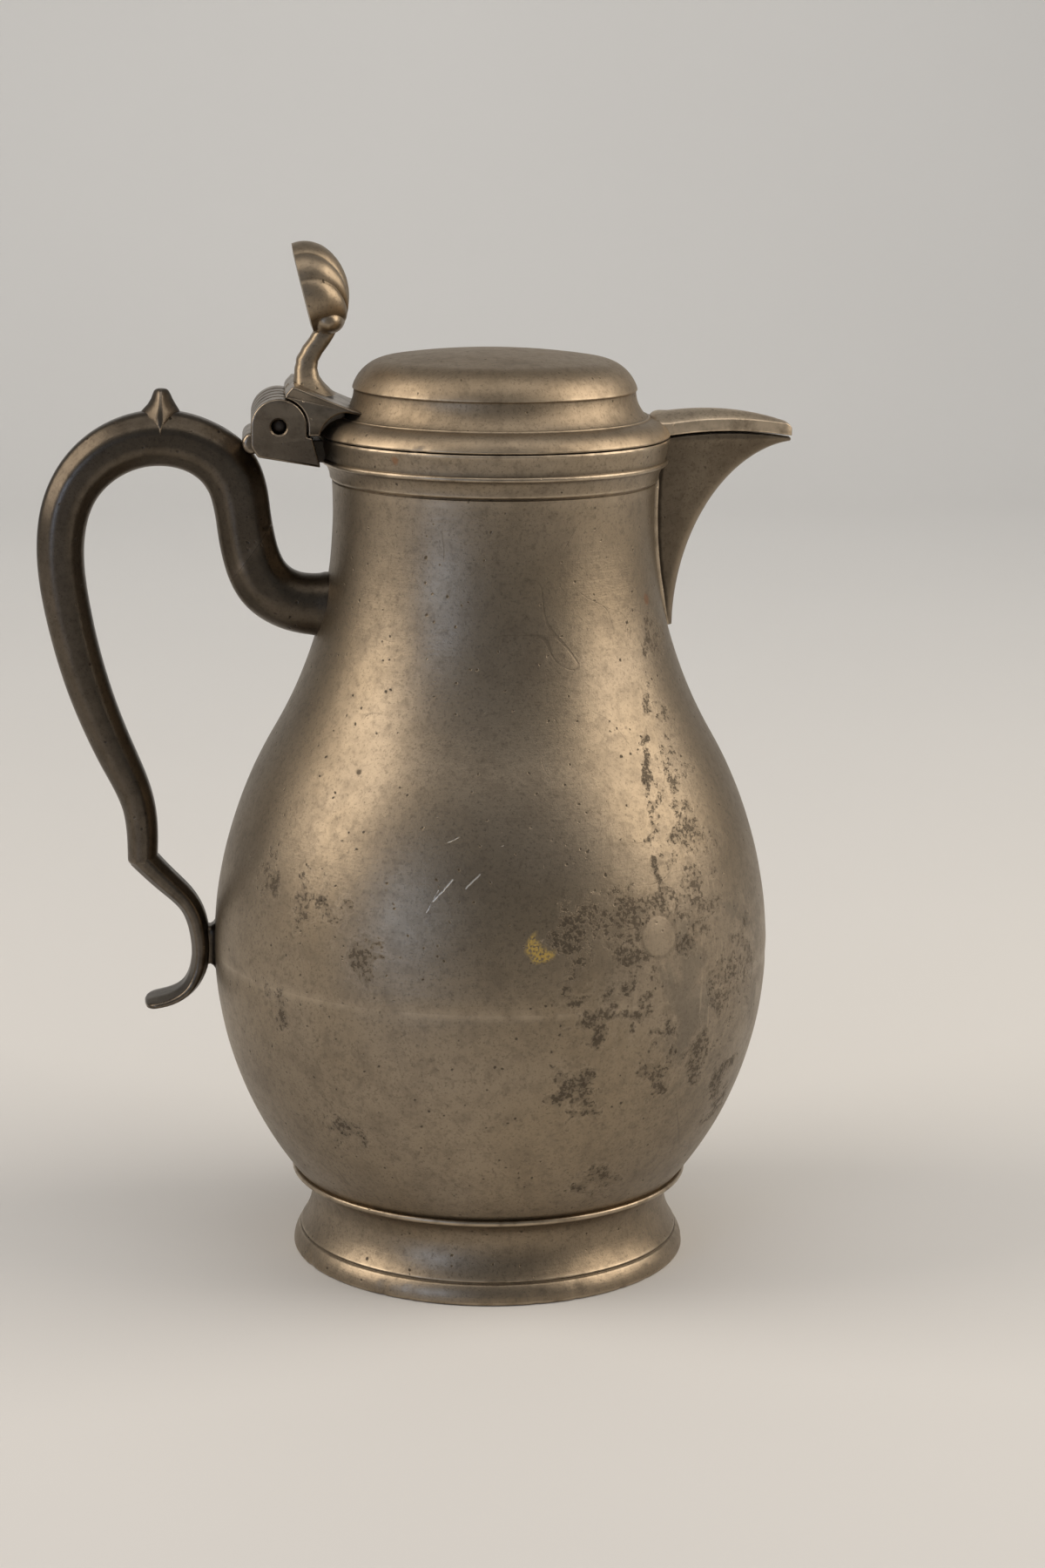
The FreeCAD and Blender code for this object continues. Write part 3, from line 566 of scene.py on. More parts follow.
def pewter(name, light, warm, dark, rough, soil=0.5, marks=None, turned=0.0, rubbed=1.5, flank_painted_shade=0.0):
    """Old pewter: clouded tone, pits, tarnish in the hollows and rubbed edges."""
    looks = Looks(name)
    broad = looks.noise(17.0, 3.0, 0.5, twist=0.4)
    cloud = looks.noise(75.0, 6.0, 0.62)
    fine = looks.noise(520.0, 5.0, 0.6)
    grain = looks.noise(2600.0, 2.0, 0.5)
    blotch = looks.band(looks.noise(240.0, 6.0, 0.68, twist=0.3), 0.44, 0.66)
    speck = looks.band(looks.noise(1300.0, 4.0, 0.65), 0.52, 0.70)
    looks.colour = looks.tint(looks.band(broad, 0.32, 0.68), light, warm)
    looks.paint(dark, looks.band(cloud, 0.45, 0.75), 0.34)
    looks.paint(dark, blotch, 0.26)
    looks.paint(dark, speck, 0.66)
    looks.paint(dark, looks.band(fine, 0.50, 0.70), 0.4)

    ragged = looks.shaken(0.0016, 420.0)
    pit = looks.most(pits(looks, 520.0, 0.90, 0.26, ragged), pits(looks, 190.0, 0.962, 0.13, ragged))
    looks.paint(shade(dark, 0.38), pit, 0.7)
    # Painted shade: upright sides made darker, as though light fell only from above.
    if flank_painted_shade:
        looks.paint(dark, looks.stored("flank_painted_shade"), flank_painted_shade)
    wear = looks.times(looks.stored("wear"), looks.band(looks.noise(160.0, 4.0, 0.6), 0.28, 0.60))
    grime = looks.times(looks.stored("grime"), soil)
    looks.paint(shade(dark, 0.25), grime)
    looks.paint(shade(light, rubbed), wear, 0.75)

    looks.height = looks.times(fine, 0.45)
    looks.lift((grain, 0.26), (cloud, 0.2), (pit, -0.9))
    looks.gloss = rough - 0.075
    looks.dull((cloud, 0.08), (fine, 0.07), (pit, 0.2), (grime, 0.2), (wear, -0.08), (blotch, 0.03))
    if turned:
        rings = looks.noise(1.0, 3.0, 0.6, where=looks.stretched(14.0, 14.0, 1500.0))
        looks.lift((rings, turned))
        looks.dull((rings, turned * 0.16))
    if marks:
        marks(looks, light, dark)

    bump = looks.node("ShaderNodeBump", {"Height": looks.height, "Strength": 0.5, "Distance": 0.00022})
    gloss = looks.math("MINIMUM", looks.math("MAXIMUM", looks.gloss, 0.14), 0.9)
    looks.feed(looks.shader.inputs["Base Color"], looks.colour)
    looks.feed(looks.shader.inputs["Roughness"], gloss)
    looks.feed(looks.shader.inputs["Normal"], bump.outputs["Normal"])
    looks.shader.inputs["Metallic"].default_value = 1.0
    return looks.material


# Middle of the plug in the belly, in millimetres
PLUG = (41.3, -66.3, 109.1)
# A patch fades from this share of its core to this share of its border
CORE_SHARE = 0.5
BORDER_SHARE = 1.5
# Corroded patches: x, y, z, reach of the core and of the border, all in millimetres, and strength
PATCHES = [
    (22.3, -73.0, 118.3, 3, 8, 0.78), (27.1, -72.1, 114.9, 5, 10, 0.78), (32.6, -69.6, 115.6, 3, 8, 0.82),
    (29.1, -72.2, 110.0, 3, 8, 0.72), (16.7, -76.0, 110.7, 2, 6, 0.95), (16.5, -77.1, 103.7, 2, 6, 1.0),
    (16.5, -77.5, 96.6, 2, 6, 0.9), (34.3, -71.0, 104.3, 2, 5, 1.0), (34.6, -71.1, 100.0, 3, 7, 0.75),
    (27.2, -74.7, 92.8, 2, 5, 1.0), (32.7, -72.4, 93.0, 2, 5, 1.0), (39.4, -69.0, 93.7, 2, 5, 0.95),
    (24.4, -75.5, 86.2, 2, 6, 1.0), (25.5, -75.0, 82.1, 2, 5, 1.0), (20.3, -76.5, 83.3, 1, 4, 0.9),
    (34.6, -71.2, 83.3, 1, 5, 1.0), (13.6, -76.9, 74.5, 1, 5, 1.0), (16.6, -75.4, 68.6, 2, 6, 1.0),
    (20.0, -72.9, 62.4, 2, 6, 0.95), (51.5, -55.9, 120.3, 4, 9, 0.85), (54.9, -55.0, 112.1, 4, 10, 0.8),
    (48.7, -59.2, 117.0, 2, 6, 0.8), (41.9, -61.0, 127.2, 1, 5, 0.85), (42.7, -63.7, 116.9, 1, 5, 0.85),
    (48.6, -61.7, 106.6, 2, 6, 0.85), (43.5, -64.5, 71.6, 3, 7, 0.95), (42.5, -67.0, 83.0, 2, 6, 0.9),
    (41.1, -64.6, 66.7, 2, 6, 1.0), (55.0, -55.2, 72.4, 3, 9, 0.9), (62.5, -42.5, 62.1, 2, 7, 0.9),
    (61.8, -36.1, 50.9, 3, 8, 0.9), (62.7, -49.1, 90.6, 4, 14, 0.7), (69.6, -38.0, 97.5, 3, 14, 0.7),
    (46.3, -43.4, 151.3, 2, 10, 0.65), (51.2, -49.5, 134.9, 3, 14, 0.65), (45.9, -35.3, 161.9, 2, 11, 0.6),
    (44.5, -25.5, 184.0, 2, 9, 0.7), (24.8, -59.0, 36.2, 2, 10, 0.85), (-62.1, -49.5, 87.1, 2, 10, 0.85),
    (-45.1, -56.2, 52.2, 1, 8, 0.9), (-65.0, -38.6, 121.5, 1, 8, 0.85), (-52.6, -56.2, 115.4, 2, 10, 0.85),
    (-38.3, -68.7, 105.7, 2, 11, 0.7), (-20, 72, 110, 6, 24, 0.8), (38, 66, 84, 5, 22, 0.8),
    (-60, 45, 66, 4, 18, 0.8), (10, 52, 180, 3, 14, 0.7), (72, 20, 70, 4, 20, 0.8)]
# Light scratches: two ends each, in millimetres, and half a width
SCRATCHES = [
    ((-22.2, -73.1, 118.2), (-19.1, -72.3, 124.0), 0.16),
    ((-20.5, -72.9, 121.1), (-15.2, -72.5, 126.9), 0.2),
    ((-11.8, -73.8, 124.8), (-8.0, -73.1, 128.4), 0.22),
    ((-4.9, -71.1, 134.6), (-1.6, -70.7, 135.9), 0.14),
    ((-16.4, -68.7, 136.1), (-11.3, -68.7, 138.6), 0.13),
    ((-32.4, -32.0, 207.7), (-24.4, -38.3, 213.9), 0.12),
    ((30.0, 68.0, 130.0), (22.0, 72.0, 122.0), 0.2),
    ((-50.0, 55.0, 100.0), (-44.0, 61.0, 92.0), 0.18)]


def patch_share(looks, where, x, y, z, core, border, strength):
    """How much of the metal a corroded patch takes, with a wide soft border."""
    return looks.times(looks.near(x, y, z, core * CORE_SHARE, border * BORDER_SHARE, where), strength)


def scratch(looks, where, a, b, half):
    """One along the line between two places, none a hair's breadth beside it."""
    a, b = Vector(a) / 1000, Vector(b) / 1000
    along = b - a
    offset = looks.vector("SUBTRACT", where, tuple(a))
    share = looks.vector("DOT_PRODUCT", offset, tuple(along / along.length_squared), result="Value")
    share = looks.math("MINIMUM", looks.math("MAXIMUM", share, 0.0), 1.0)
    foot = looks.node("ShaderNodeVectorMath", {0: tuple(along), "Scale": share}, operation="SCALE").outputs[0]
    away = looks.vector("DISTANCE", offset, foot, result="Value")
    return looks.band(away, half * 1.6 / 1000, half * 0.4 / 1000)


def hairlines(looks, scale, shift):
    """Long thin curved scratches, broken up here and there."""
    where = looks.stretched(1.0, 1.0, 1.0, shift)
    line = looks.minus(looks.noise(scale, 0.6, 0.5, where=where, twist=0.7), 0.5)
    line = looks.band(looks.math("ABSOLUTE", line), 0.0026, 0.0006)
    gaps = looks.noise(scale * 1.7, 2.0, 0.5, where=where)
    return looks.times(line, looks.band(gaps, 0.58, 0.66))


def tarnish_run(looks):
    """Narrow run of tarnish down the side below the spout."""
    bend_height, bend_turn, above, below = 0.1484, 0.944, 9.35, 1.79
    x, y, z = looks.axes()
    rise = looks.minus(z, bend_height)
    course = looks.most(looks.times(rise, above), looks.times(rise, below))
    turn = looks.minus(looks.math("ARCTAN2", y, x), looks.minus(course, bend_turn))
    turn = looks.plus(turn, looks.wobble(0.16, 90.0, 6.0, 0.7))
    core = looks.band(looks.math("ABSOLUTE", turn), 0.044, 0.004)
    return looks.times(core, looks.band(z, 0.108, 0.114), looks.band(z, 0.205, 0.190))


def belly_marks(looks, light, dark):
    """What sets the belly apart: corroded patches, a run of tarnish, a stain, a plug and scratches."""
    plug = looks.near(*PLUG, 4.9, 5.9, looks.shaken(0.0014, 240.0))
    rim = looks.times(looks.near(*PLUG, 5.7, 6.9), looks.flip(plug))
    torn = looks.wobble(2.0, 74.0, 10.0, 0.70, twist=0.9)
    ragged = looks.wobble(0.5, 330.0, 5.0, 0.7)
    spread = looks.shaken(0.026, 130.0)
    zone = looks.most(*[patch_share(looks, spread, *patch) for patch in PATCHES])
    drips = looks.times(tarnish_run(looks), 0.38)
    worn_away = looks.plus(looks.times(torn, 0.9), looks.times(zone, 0.95), drips, ragged)
    density = looks.times(looks.band(worn_away, 0.30, 0.98), looks.flip(looks.times(plug, 0.75)))
    speckle = looks.noise(780.0, 6.0, 0.70)
    crumbs = looks.band(looks.plus(speckle, looks.times(density, 0.15)), 0.58, 0.66)
    crumbs = looks.times(crumbs, looks.band(density, 0.02, 0.2))
    shore = looks.times(looks.band(density, 0.01, 0.06), looks.band(density, 0.22, 0.08))
    side = looks.near(60.0, -52.0, 95.0, 12.0, 52.0)
    drift = looks.noise(48.0, 7.0, 0.68, twist=0.6)
    smear = looks.times(side, looks.band(drift, 0.46, 0.60))
    haze = looks.most(smear, looks.near(53.2, -59.1, 86.8, 3.0, 12.0, looks.shaken(0.008, 90.0)))
    streak = looks.noise(430.0, 3.0, 0.6, where=looks.stretched(1.0, 1.0, 0.09, 3.0))
    looks.paint((0.130, 0.115, 0.094), haze, 0.5)
    looks.paint(shade(light, 1.45), side, looks.band(streak, 0.55, 0.66), looks.band(drift, 0.56, 0.44), 0.4)
    looks.paint(shade(light, 1.25), side, looks.band(drift, 0.46, 0.34), 0.25)
    looks.paint(shade(dark, 0.8), density, 0.26)
    looks.paint(shade(light, 1.3), shore, 0.22)
    looks.paint(shade(dark, 0.5), crumbs, 0.60)
    looks.paint(shade(light, 1.2), plug, 0.22)
    looks.paint(shade(dark, 0.8), rim, 0.3)
    looks.lift((crumbs, -0.6), (density, -0.3), (plug, 0.22))
    looks.dull((density, 0.10), (crumbs, 0.10), (smear, 0.08))

    frayed = looks.shaken(0.0022, 320.0)
    stain = looks.near(8.2, -77.7, 109.3, 3.4, 5.0, frayed)
    bare = looks.near(12.2, -77.2, 113.4, 4.0, 6.8, frayed)
    flecks = looks.band(looks.noise(1400.0, 3.0, 0.6), 0.38, 0.54)
    stain = looks.times(stain, looks.flip(bare), flecks)
    looks.paint((0.60, 0.42, 0.12), stain, 0.85)
    looks.dull((stain, 0.2))
    spot = looks.near(-39.6, -49.4, 151.4, 0.5, 1.3, looks.shaken(0.0012, 500.0))
    rust = looks.near(41.0, -23.6, 194.7, 0.9, 2.1, looks.shaken(0.0018, 300.0))
    rust = looks.most(rust, looks.near(-29.5, -38.9, 235.2, 0.6, 1.6, frayed))
    looks.paint(shade(dark, 0.3), spot, 0.85)
    looks.paint((0.26, 0.12, 0.055), rust, 0.6)

    wavy = looks.shaken(0.0011, 260.0)
    cuts = looks.most(*[scratch(looks, wavy, *mark) for mark in SCRATCHES])
    hair = looks.most(hairlines(looks, 21.0, 0.0), hairlines(looks, 33.0, 5.0))
    looks.paint((0.72, 0.68, 0.60), cuts, looks.band(speckle, 0.30, 0.48), 0.9)
    looks.paint(shade(dark, 0.55), hair, 0.25)
    looks.lift((cuts, -0.4), (hair, -0.2))


def spout_marks(looks, light, dark):
    """What sets the spout apart: a painted highlight down its keel, and old dirt with painted shade where its
    cheeks leave the neck.
    """
    _, y, z = looks.axes()
    out = looks.vector("LENGTH", looks.stretched(1.0, 1.0, 0.0), result="Value")
    rise = looks.minus(z, NECK_HEIGHT / 1000)
    neck = looks.plus(looks.times(rise, rise, 500 / NECK_ARC), NECK_RADIUS / 1000)
    away = looks.plus(looks.minus(out, neck), looks.wobble(0.0012, 300.0, 4.0, 0.6))
    joint = looks.times(looks.band(away, 0.0022, 0.0012), looks.band(away, 0.0003, 0.0008))
    keel = looks.band(looks.math("ABSOLUTE", y), 0.0034, 0.0020)
    # Painted shade on the cheeks, deepening towards the neck; the narrow joint band is old dirt and painted
    # shade.
    looks.paint(shade(dark, 0.75), looks.band(away, 0.012, 0.001), 0.35)
    looks.paint(shade(dark, 0.3), joint, 0.8)
    # Painted highlight down the keel, where the spout's front face takes the light.
    looks.paint(shade(light, 1.7), keel, 0.5)
    looks.dull((joint, 0.2))


def paper_floor():
    looks = Looks("stage_floor")
    tone = looks.tint(looks.noise(3.0, 3.0, 0.5), (0.70, 0.69, 0.67), (0.73, 0.72, 0.70))
    fibre = looks.noise(900.0, 3.0, 0.6)
    bump = looks.node("ShaderNodeBump", {"Height": fibre, "Strength": 0.06, "Distance": 0.0003})
    looks.feed(looks.shader.inputs["Base Color"], tone)
    looks.feed(looks.shader.inputs["Normal"], bump.outputs["Normal"])
    looks.shader.inputs["Roughness"].default_value = 0.85
    return looks.material


BODY = pewter("pewter_body", (0.305, 0.250, 0.184), (0.276, 0.219, 0.150), (0.130, 0.104, 0.077),
              rough=0.39, soil=0.4, marks=belly_marks, turned=0.25)
FOOT = pewter("pewter_foot", (0.305, 0.248, 0.180), (0.270, 0.211, 0.143), (0.125, 0.099, 0.072),
              rough=0.38, turned=0.3)
LID = pewter("pewter_lid", (0.325, 0.260, 0.184), (0.288, 0.221, 0.145), (0.145, 0.113, 0.078),
             rough=0.46, soil=0.18, turned=0.2)
SPOUT = pewter("pewter_spout", (0.168, 0.137, 0.100), (0.147, 0.113, 0.076), (0.074, 0.057, 0.041),
               rough=0.40, soil=0.4, marks=spout_marks)
# Painted light: this pewter is lighter than the lid's so the cover's top reads as lit from above; the flank
# share lays painted shade on its upright sides.
COVER = pewter("pewter_cover_lit_painted", (0.520, 0.425, 0.310), (0.460, 0.362, 0.250), (0.170, 0.134, 0.096),
               rough=0.42, soil=0.18, flank_painted_shade=0.45)
HANDLE = pewter("pewter_handle", (0.100, 0.083, 0.065), (0.084, 0.067, 0.048), (0.041, 0.032, 0.024),
                rough=0.34, rubbed=2.0)
HINGE = pewter("pewter_hinge", (0.150, 0.124, 0.094), (0.128, 0.101, 0.073), (0.068, 0.053, 0.040),
               rough=0.36, soil=0.6, rubbed=2.2)
THUMB = pewter("pewter_thumb", (0.345, 0.278, 0.198), (0.305, 0.236, 0.157), (0.150, 0.118, 0.083),
               rough=0.44, rubbed=1.0)
# Painted shadow: near-black pewter for the tongue in the shaded gap between the hinge block and the rim.
RECESS = pewter("pewter_painted_shadow", (0.060, 0.051, 0.041), (0.050, 0.040, 0.030), (0.027, 0.022, 0.017),
                rough=0.5, soil=0.6)
PIN = pewter("iron_pin", (0.070, 0.062, 0.055), (0.055, 0.045, 0.036), (0.025, 0.021, 0.018),
             rough=0.5, soil=0.6)


# Foot and body

def foot_section():
    top = FOOT_HEIGHT + 3.2
    lip = bowl_radius(top) + FOOT_LIP_STAND
    waist = (FOOT_WAIST, FOOT_HEIGHT * 0.76)
    under = (bowl_radius(top - 1.6) + FOOT_LIP_STAND, top - 1.6)
    cove = (FOOT_WAIST + (under[0] - FOOT_WAIST) * 0.3, waist[1] + (under[1] - waist[1]) * 0.62)
    r = FOOT_RADIUS
    section = bow((r - 0.7, 0), (r - 0.1, 0.5), (r, 1.2), 6)
    section += bow((r, 1.2), (r - 0.5, 3.6), (r - 1.6, 5.6), 9)[1:]
    section += [(r - 2.3, 6.0)]
    section += bow((r - 2.0, 6.6), (FOOT_WAIST + 1.0, FOOT_HEIGHT * 0.52), waist, 22)
    section += bow(waist, cove, under, 10)[1:]
    section += bow(under, (lip, top - 0.9), (lip - 0.3, top), 6)[1:]
    section += [(bowl_radius(top) - 0.5, top), (bowl_radius(FOOT_HEIGHT) - 1.2, FOOT_HEIGHT + 0.2)]
    section += [(BASE_FLANGE + 1.6, FOOT_HEIGHT + 0.2), (BASE_FLANGE + 1.6, FOOT_HEIGHT * 0.6)]
    section += [(FOOT_RADIUS - 4.6, 0)]
    return soften(section, 0.45)


def collar():
    """Incised line, cove, bead and rim band from the neck up to the rim's outer edge."""
    top, reach = RIM_HEIGHT, RIM_RADIUS + RIM_SPREAD
    foot = top - 12.8
    start = (neck_radius(foot), foot)
    cove_low = (start[0] + 0.6, top - 11.7)
    cove_high = (reach - 1.5, top - 7.4)
    cove_mid = (cove_low[0] * 0.62 + cove_high[0] * 0.38, top - 9.0)
    bead_top = (reach - 1.3, top - 5.9)
    section = [start, (start[0] - 0.42, foot + 0.32), (start[0] + 0.1, foot + 0.64)]
    section += bow(cove_low, cove_mid, cove_high, 12)
    section += bow(cove_high, (reach - 0.5, top - 6.65), bead_top, 9)[1:]
    section += bow(bead_top, (reach - 0.8, top - 3.0), (reach, top - 0.5), 10)[1:]
    section += [(reach - 0.3, top)]
    return foot, soften(section, 0.2, closed=False)


def upper_section():
    foot, top = collar()
    lap, lap_low = BELLY_RADIUS - WALL / 2, BELLY_HEIGHT - SEAM_LAP
    section = run(shoulder_radius, BELLY_HEIGHT, turn_height(), 60)
    section += run(neck_radius, turn_height(), foot, 60)[1:-1]
    section += top
    section += run(neck_radius, RIM_HEIGHT, turn_height(WALL), 30, WALL)
    section += run(shoulder_radius, turn_height(WALL), BELLY_HEIGHT, 30, WALL)[1:]
    section += [(bowl_radius(lap_low, WALL), lap_low), (lap, lap_low), (lap, BELLY_HEIGHT)]
    return section


def lower_section():
    floor, lap, lap_low = FOOT_HEIGHT + WALL, BELLY_RADIUS - WALL / 2, BELLY_HEIGHT - SEAM_LAP
    section = run(bowl_radius, BELLY_HEIGHT, FOOT_HEIGHT, 70)
    section += [(BASE_OPENING, FOOT_HEIGHT), (BASE_OPENING, floor)]
    section += run(bowl_radius, floor, lap_low, 36, WALL)
    section += [(lap, lap_low), (lap, BELLY_HEIGHT)]
    return section


def base_section():
    low, high = FOOT_HEIGHT - WALL, FOOT_HEIGHT + WALL
    under = [(0, low + 1.6), (12, low + 1.5), (26, low + 0.9), (BASE_FLANGE - 6, low), (BASE_FLANGE, low)]
    over = [(BASE_FLANGE, FOOT_HEIGHT), (BASE_OPENING, FOOT_HEIGHT), (BASE_OPENING, high)]
    over += [(BASE_FLANGE - 8, high), (0, high + 1.6)]
    return soften(under + over, 0.4, closed=False)


# Spout

def keel_reach(z):
    foot = NECK_RADIUS + SPOUT_KEEL_REACH
    share = clamp((z - RIM_HEIGHT + SPOUT_DEPTH) / (SPOUT_DEPTH - 1.0))
    return foot + (SPOUT_TIP + 4.0 - foot) * (1.0 - (1.0 - share ** KEEL_POWER) ** (1 / KEEL_POWER))


def arch_height(x):
    share = (x - RIM_RADIUS) / (SPOUT_TIP - RIM_RADIUS)
    return RIM_HEIGHT + SPOUT_ARCH * 4 * share * (1 - share) - 0.5 * share


def beak_frame(z, inset):
    """Spout's section at a height: its cheek's start and slope, and the nose's centre, size and touch."""
    share = clamp((z - RIM_HEIGHT + SPOUT_DEPTH) / SPOUT_DEPTH)
    half = SPOUT_FOOT_HALF + (SPOUT_ROOT_HALF - SPOUT_FOOT_HALF) * math.sqrt(share) - inset
    tip, base, centre = SPOUT_NOSE - inset, SPOUT_BASE, keel_reach(z) - SPOUT_NOSE
    touch = math.atan2(half, base - centre) - math.acos(tip / math.hypot(half, base - centre))
    high = (centre + tip * math.cos(touch), tip * math.sin(touch))
    return base, half, (high[1] - half) / (high[0] - base), centre, tip, touch, high


def beak_row(z, inset, root, cheek=16, nose=13):
    """Points across the spout at a height, from one root round the nose to the other."""
    base, half, slope, centre, tip, touch, high = beak_frame(z, inset)
    start = (root, half + slope * (root - base))
    side = [tuple(Vector(start).lerp(Vector(high), i / cheek)) for i in range(cheek)]
    for i in range(nose):
        turn = touch * (1 - i / (nose - 1))
        side.append((centre + tip * math.cos(turn), tip * math.sin(turn)))
    return [(x, y, z) for x, y in side + [(x, -y) for x, y in side[-2::-1]]]


def joint_lip(side):
    """Thin raised lip where a cheek of the spout meets the neck."""
    path, rows = [], []
    for i in range(LIP_STEPS + 1):
        z = RIM_HEIGHT - SPOUT_DEPTH + 0.6 + (SPOUT_DEPTH - 9.6) * i / LIP_STEPS
        base, half, slope = beak_frame(z, 0.0)[:3]
        low, high = base - 8.0, keel_reach(z)
        for _ in range(30):
            middle = (low + high) / 2
            inside = math.hypot(middle, half + slope * (middle - base)) < body_radius(z)
            low, high = (middle, high) if inside else (low, middle)
        path.append(Vector((low, side * (half + slope * (low - base)), z)))
    turns = [2 * math.pi * k / 12 for k in range(12)]
    for i, here in enumerate(path):
        along = (path[min(i + 1, LIP_STEPS)] - path[max(i - 1, 0)]).normalized()
        out = Vector((here.x, here.y, 0)).normalized()
        across = along.cross(out).normalized()
        size = 0.95 * min(1.0, 0.35 + i / 12, 0.35 + (LIP_STEPS - i) / 6)
        rows.append([here + across * (size * math.cos(t) * 0.8) + out * (size * math.sin(t)) for t in turns])
    return loft(rows)


def beak_line(column, z_low, inset, count):
    """One line up the spout, from its foot to the arched edge."""
    def at(z):
        x, y, _ = beak_row(z, inset, neck_radius(z) - 1.0)[column]
        return x, y
    low, high = z_low, RIM_HEIGHT + 3.0
    for _ in range(40):
        middle = (low + high) / 2
        if middle < arch_height(min(at(middle)[0], SPOUT_TIP)):
            low = middle
        else:
            high = middle
    points = []
    for i in range(count):
        z = z_low + (low - z_low) * (1 - (1 - i / (count - 1)) ** 1.6)
        x, y = at(z)
        points.append((min(x, SPOUT_TIP), y, z))
    return points


def spout_shape():
    """Shell of the beak: outside, edge and channel as one sheet, open only inside the neck's wall."""
    width = len(beak_row(RIM_HEIGHT - 10, 0.0, NECK_RADIUS))
    foot = RIM_HEIGHT - SPOUT_DEPTH
    outside = [beak_line(i, foot + 0.3, 0.0, 44) for i in range(width)]
    inside = [beak_line(i, foot + SPOUT_DEPTH * 0.17, SPOUT_WALL + 0.05, 40) for i in range(width)]
    columns = []
    for out, inner in zip(outside, inside):
        edge_out, edge_in = Vector(out[-1]), Vector(inner[-1])
        lip = []
        for share in (0.2, 0.5, 0.8):
            swell = Vector((0, 0, 0.12 * math.sin(math.pi * share)))
            lip.append(tuple(edge_out.lerp(edge_in, share) + swell))
        columns.append(out + lip + inner[::-1])
    rows = [list(row) for row in zip(*columns)]
    points, faces = loft(rows, around=False, caps=False)
    last = len(points) - width
    faces.append(list(range(last, last + width)))
    return points, faces


def channel_shape():
    """The hollow of the spout as a closed shape, to open the neck's wall behind it."""
    rows = []
    for share in (0.16, 0.32, 0.48, 0.62, 0.75, 0.86, 0.94, 1.0, 1.08):
        z = RIM_HEIGHT - SPOUT_DEPTH + SPOUT_DEPTH * share
        rows.append(beak_row(z, SPOUT_WALL, SPOUT_BASE, 6, 7))
    return loft(rows)


def opened(obj, shape):
    """Cuts a closed shape out of a piece."""
    cutter = placed("cutter", mesh_of("cutter", shape, FOLD_ANGLE))
    cut = obj.modifiers.new("opening", "BOOLEAN")
    cut.operation, cut.solver, cut.object = "DIFFERENCE", "EXACT", cutter
    bpy.context.view_layer.update()
    done = bpy.data.meshes.new_from_object(obj.evaluated_get(bpy.context.evaluated_depsgraph_get()))
    obj.modifiers.clear()
    old = obj.data
    obj.data = done
    bpy.data.meshes.remove(old)
    bpy.data.objects.remove(cutter)
    settle(done, FOLD_ANGLE)


# Lid

def dome(top, rim, inset):
    """Shoulder and crown of the lid from its upper step to the axis."""
    low = top - CROWN_ARC
    gap = Vector((rim[0], rim[1] - low))
    near, length = CROWN_ARC - CROWN_SHOULDER, gap.length
    along = (near ** 2 - CROWN_SHOULDER ** 2 + length ** 2) / (2 * length)
    off = math.sqrt(near ** 2 - along ** 2)
    unit = gap / length
    centre = (unit.x * along - unit.y * off, low + unit.y * along + unit.x * off)
    first = math.atan2(rim[1] - centre[1], rim[0] - centre[0])
    last = math.atan2(centre[1] - low, centre[0])
    reach = CROWN_SHOULDER - inset
    points = []
    for i in range(20):
        turn = first + (last - first) * i / 19
        points.append((centre[0] + reach * math.cos(turn), centre[1] + reach * math.sin(turn)))
    for i in range(1, 25):
        turn = last + (math.pi / 2 - last) * i / 24
        points.append(((CROWN_ARC - inset) * math.cos(turn), low + (CROWN_ARC - inset) * math.sin(turn)))
    points[-1] = (0.0, top - inset)
    return points


def lid_section():
    brim, low, top = RIM_RADIUS + RIM_SPREAD, LID_BASE, LID_BASE + LID_HEIGHT
    crease = (RIM_RADIUS - BRIM_WIDTH, low + BRIM_RISE)
    step = (RIM_RADIUS - STEP_INSET, low + STEP_RISE)
    ledge, hollow = (crease[0] - 0.3, crease[1] + 0.55), (crease[0] - 0.85, crease[1] + 0.35)
    bend = (step[0] + (hollow[0] - step[0]) * 0.3, hollow[1] + (step[1] - hollow[1]) * 0.42)
    rim = (step[0] + 0.45, step[1] + 0.4)
    swell = (brim - BRIM_WIDTH * 0.36, low + BRIM_RISE * 0.66)
    outer = [(brim - 0.3, low), (brim, low + 0.4)]
    outer += bow((brim, low + 0.4), swell, crease, 12)[1:] + [ledge]
    outer += bow(hollow, bend, step, 14) + dome(top, rim, 0.0)
    bezel = neck_radius(RIM_HEIGHT, WALL) - BEZEL_CLEARANCE
    inside, foot = bezel - LID_WALL, low - BEZEL_DROP
    narrow = min(inside, RIM_RADIUS - STEP_INSET - LID_WALL)
    inner = dome(top, rim, LID_WALL)[::-1]
    inner += [(narrow, low + STEP_RISE - LID_WALL), (narrow + 1.2, low + BRIM_RISE - 0.6)]
    inner += [(inside, low + 1.6), (inside, foot), (bezel - 0.4, foot), (bezel, foot + 0.6), (bezel, low)]
    return soften([(0.0, top - LID_WALL)] + inner[1:] + outer, 0.4, closed=False)


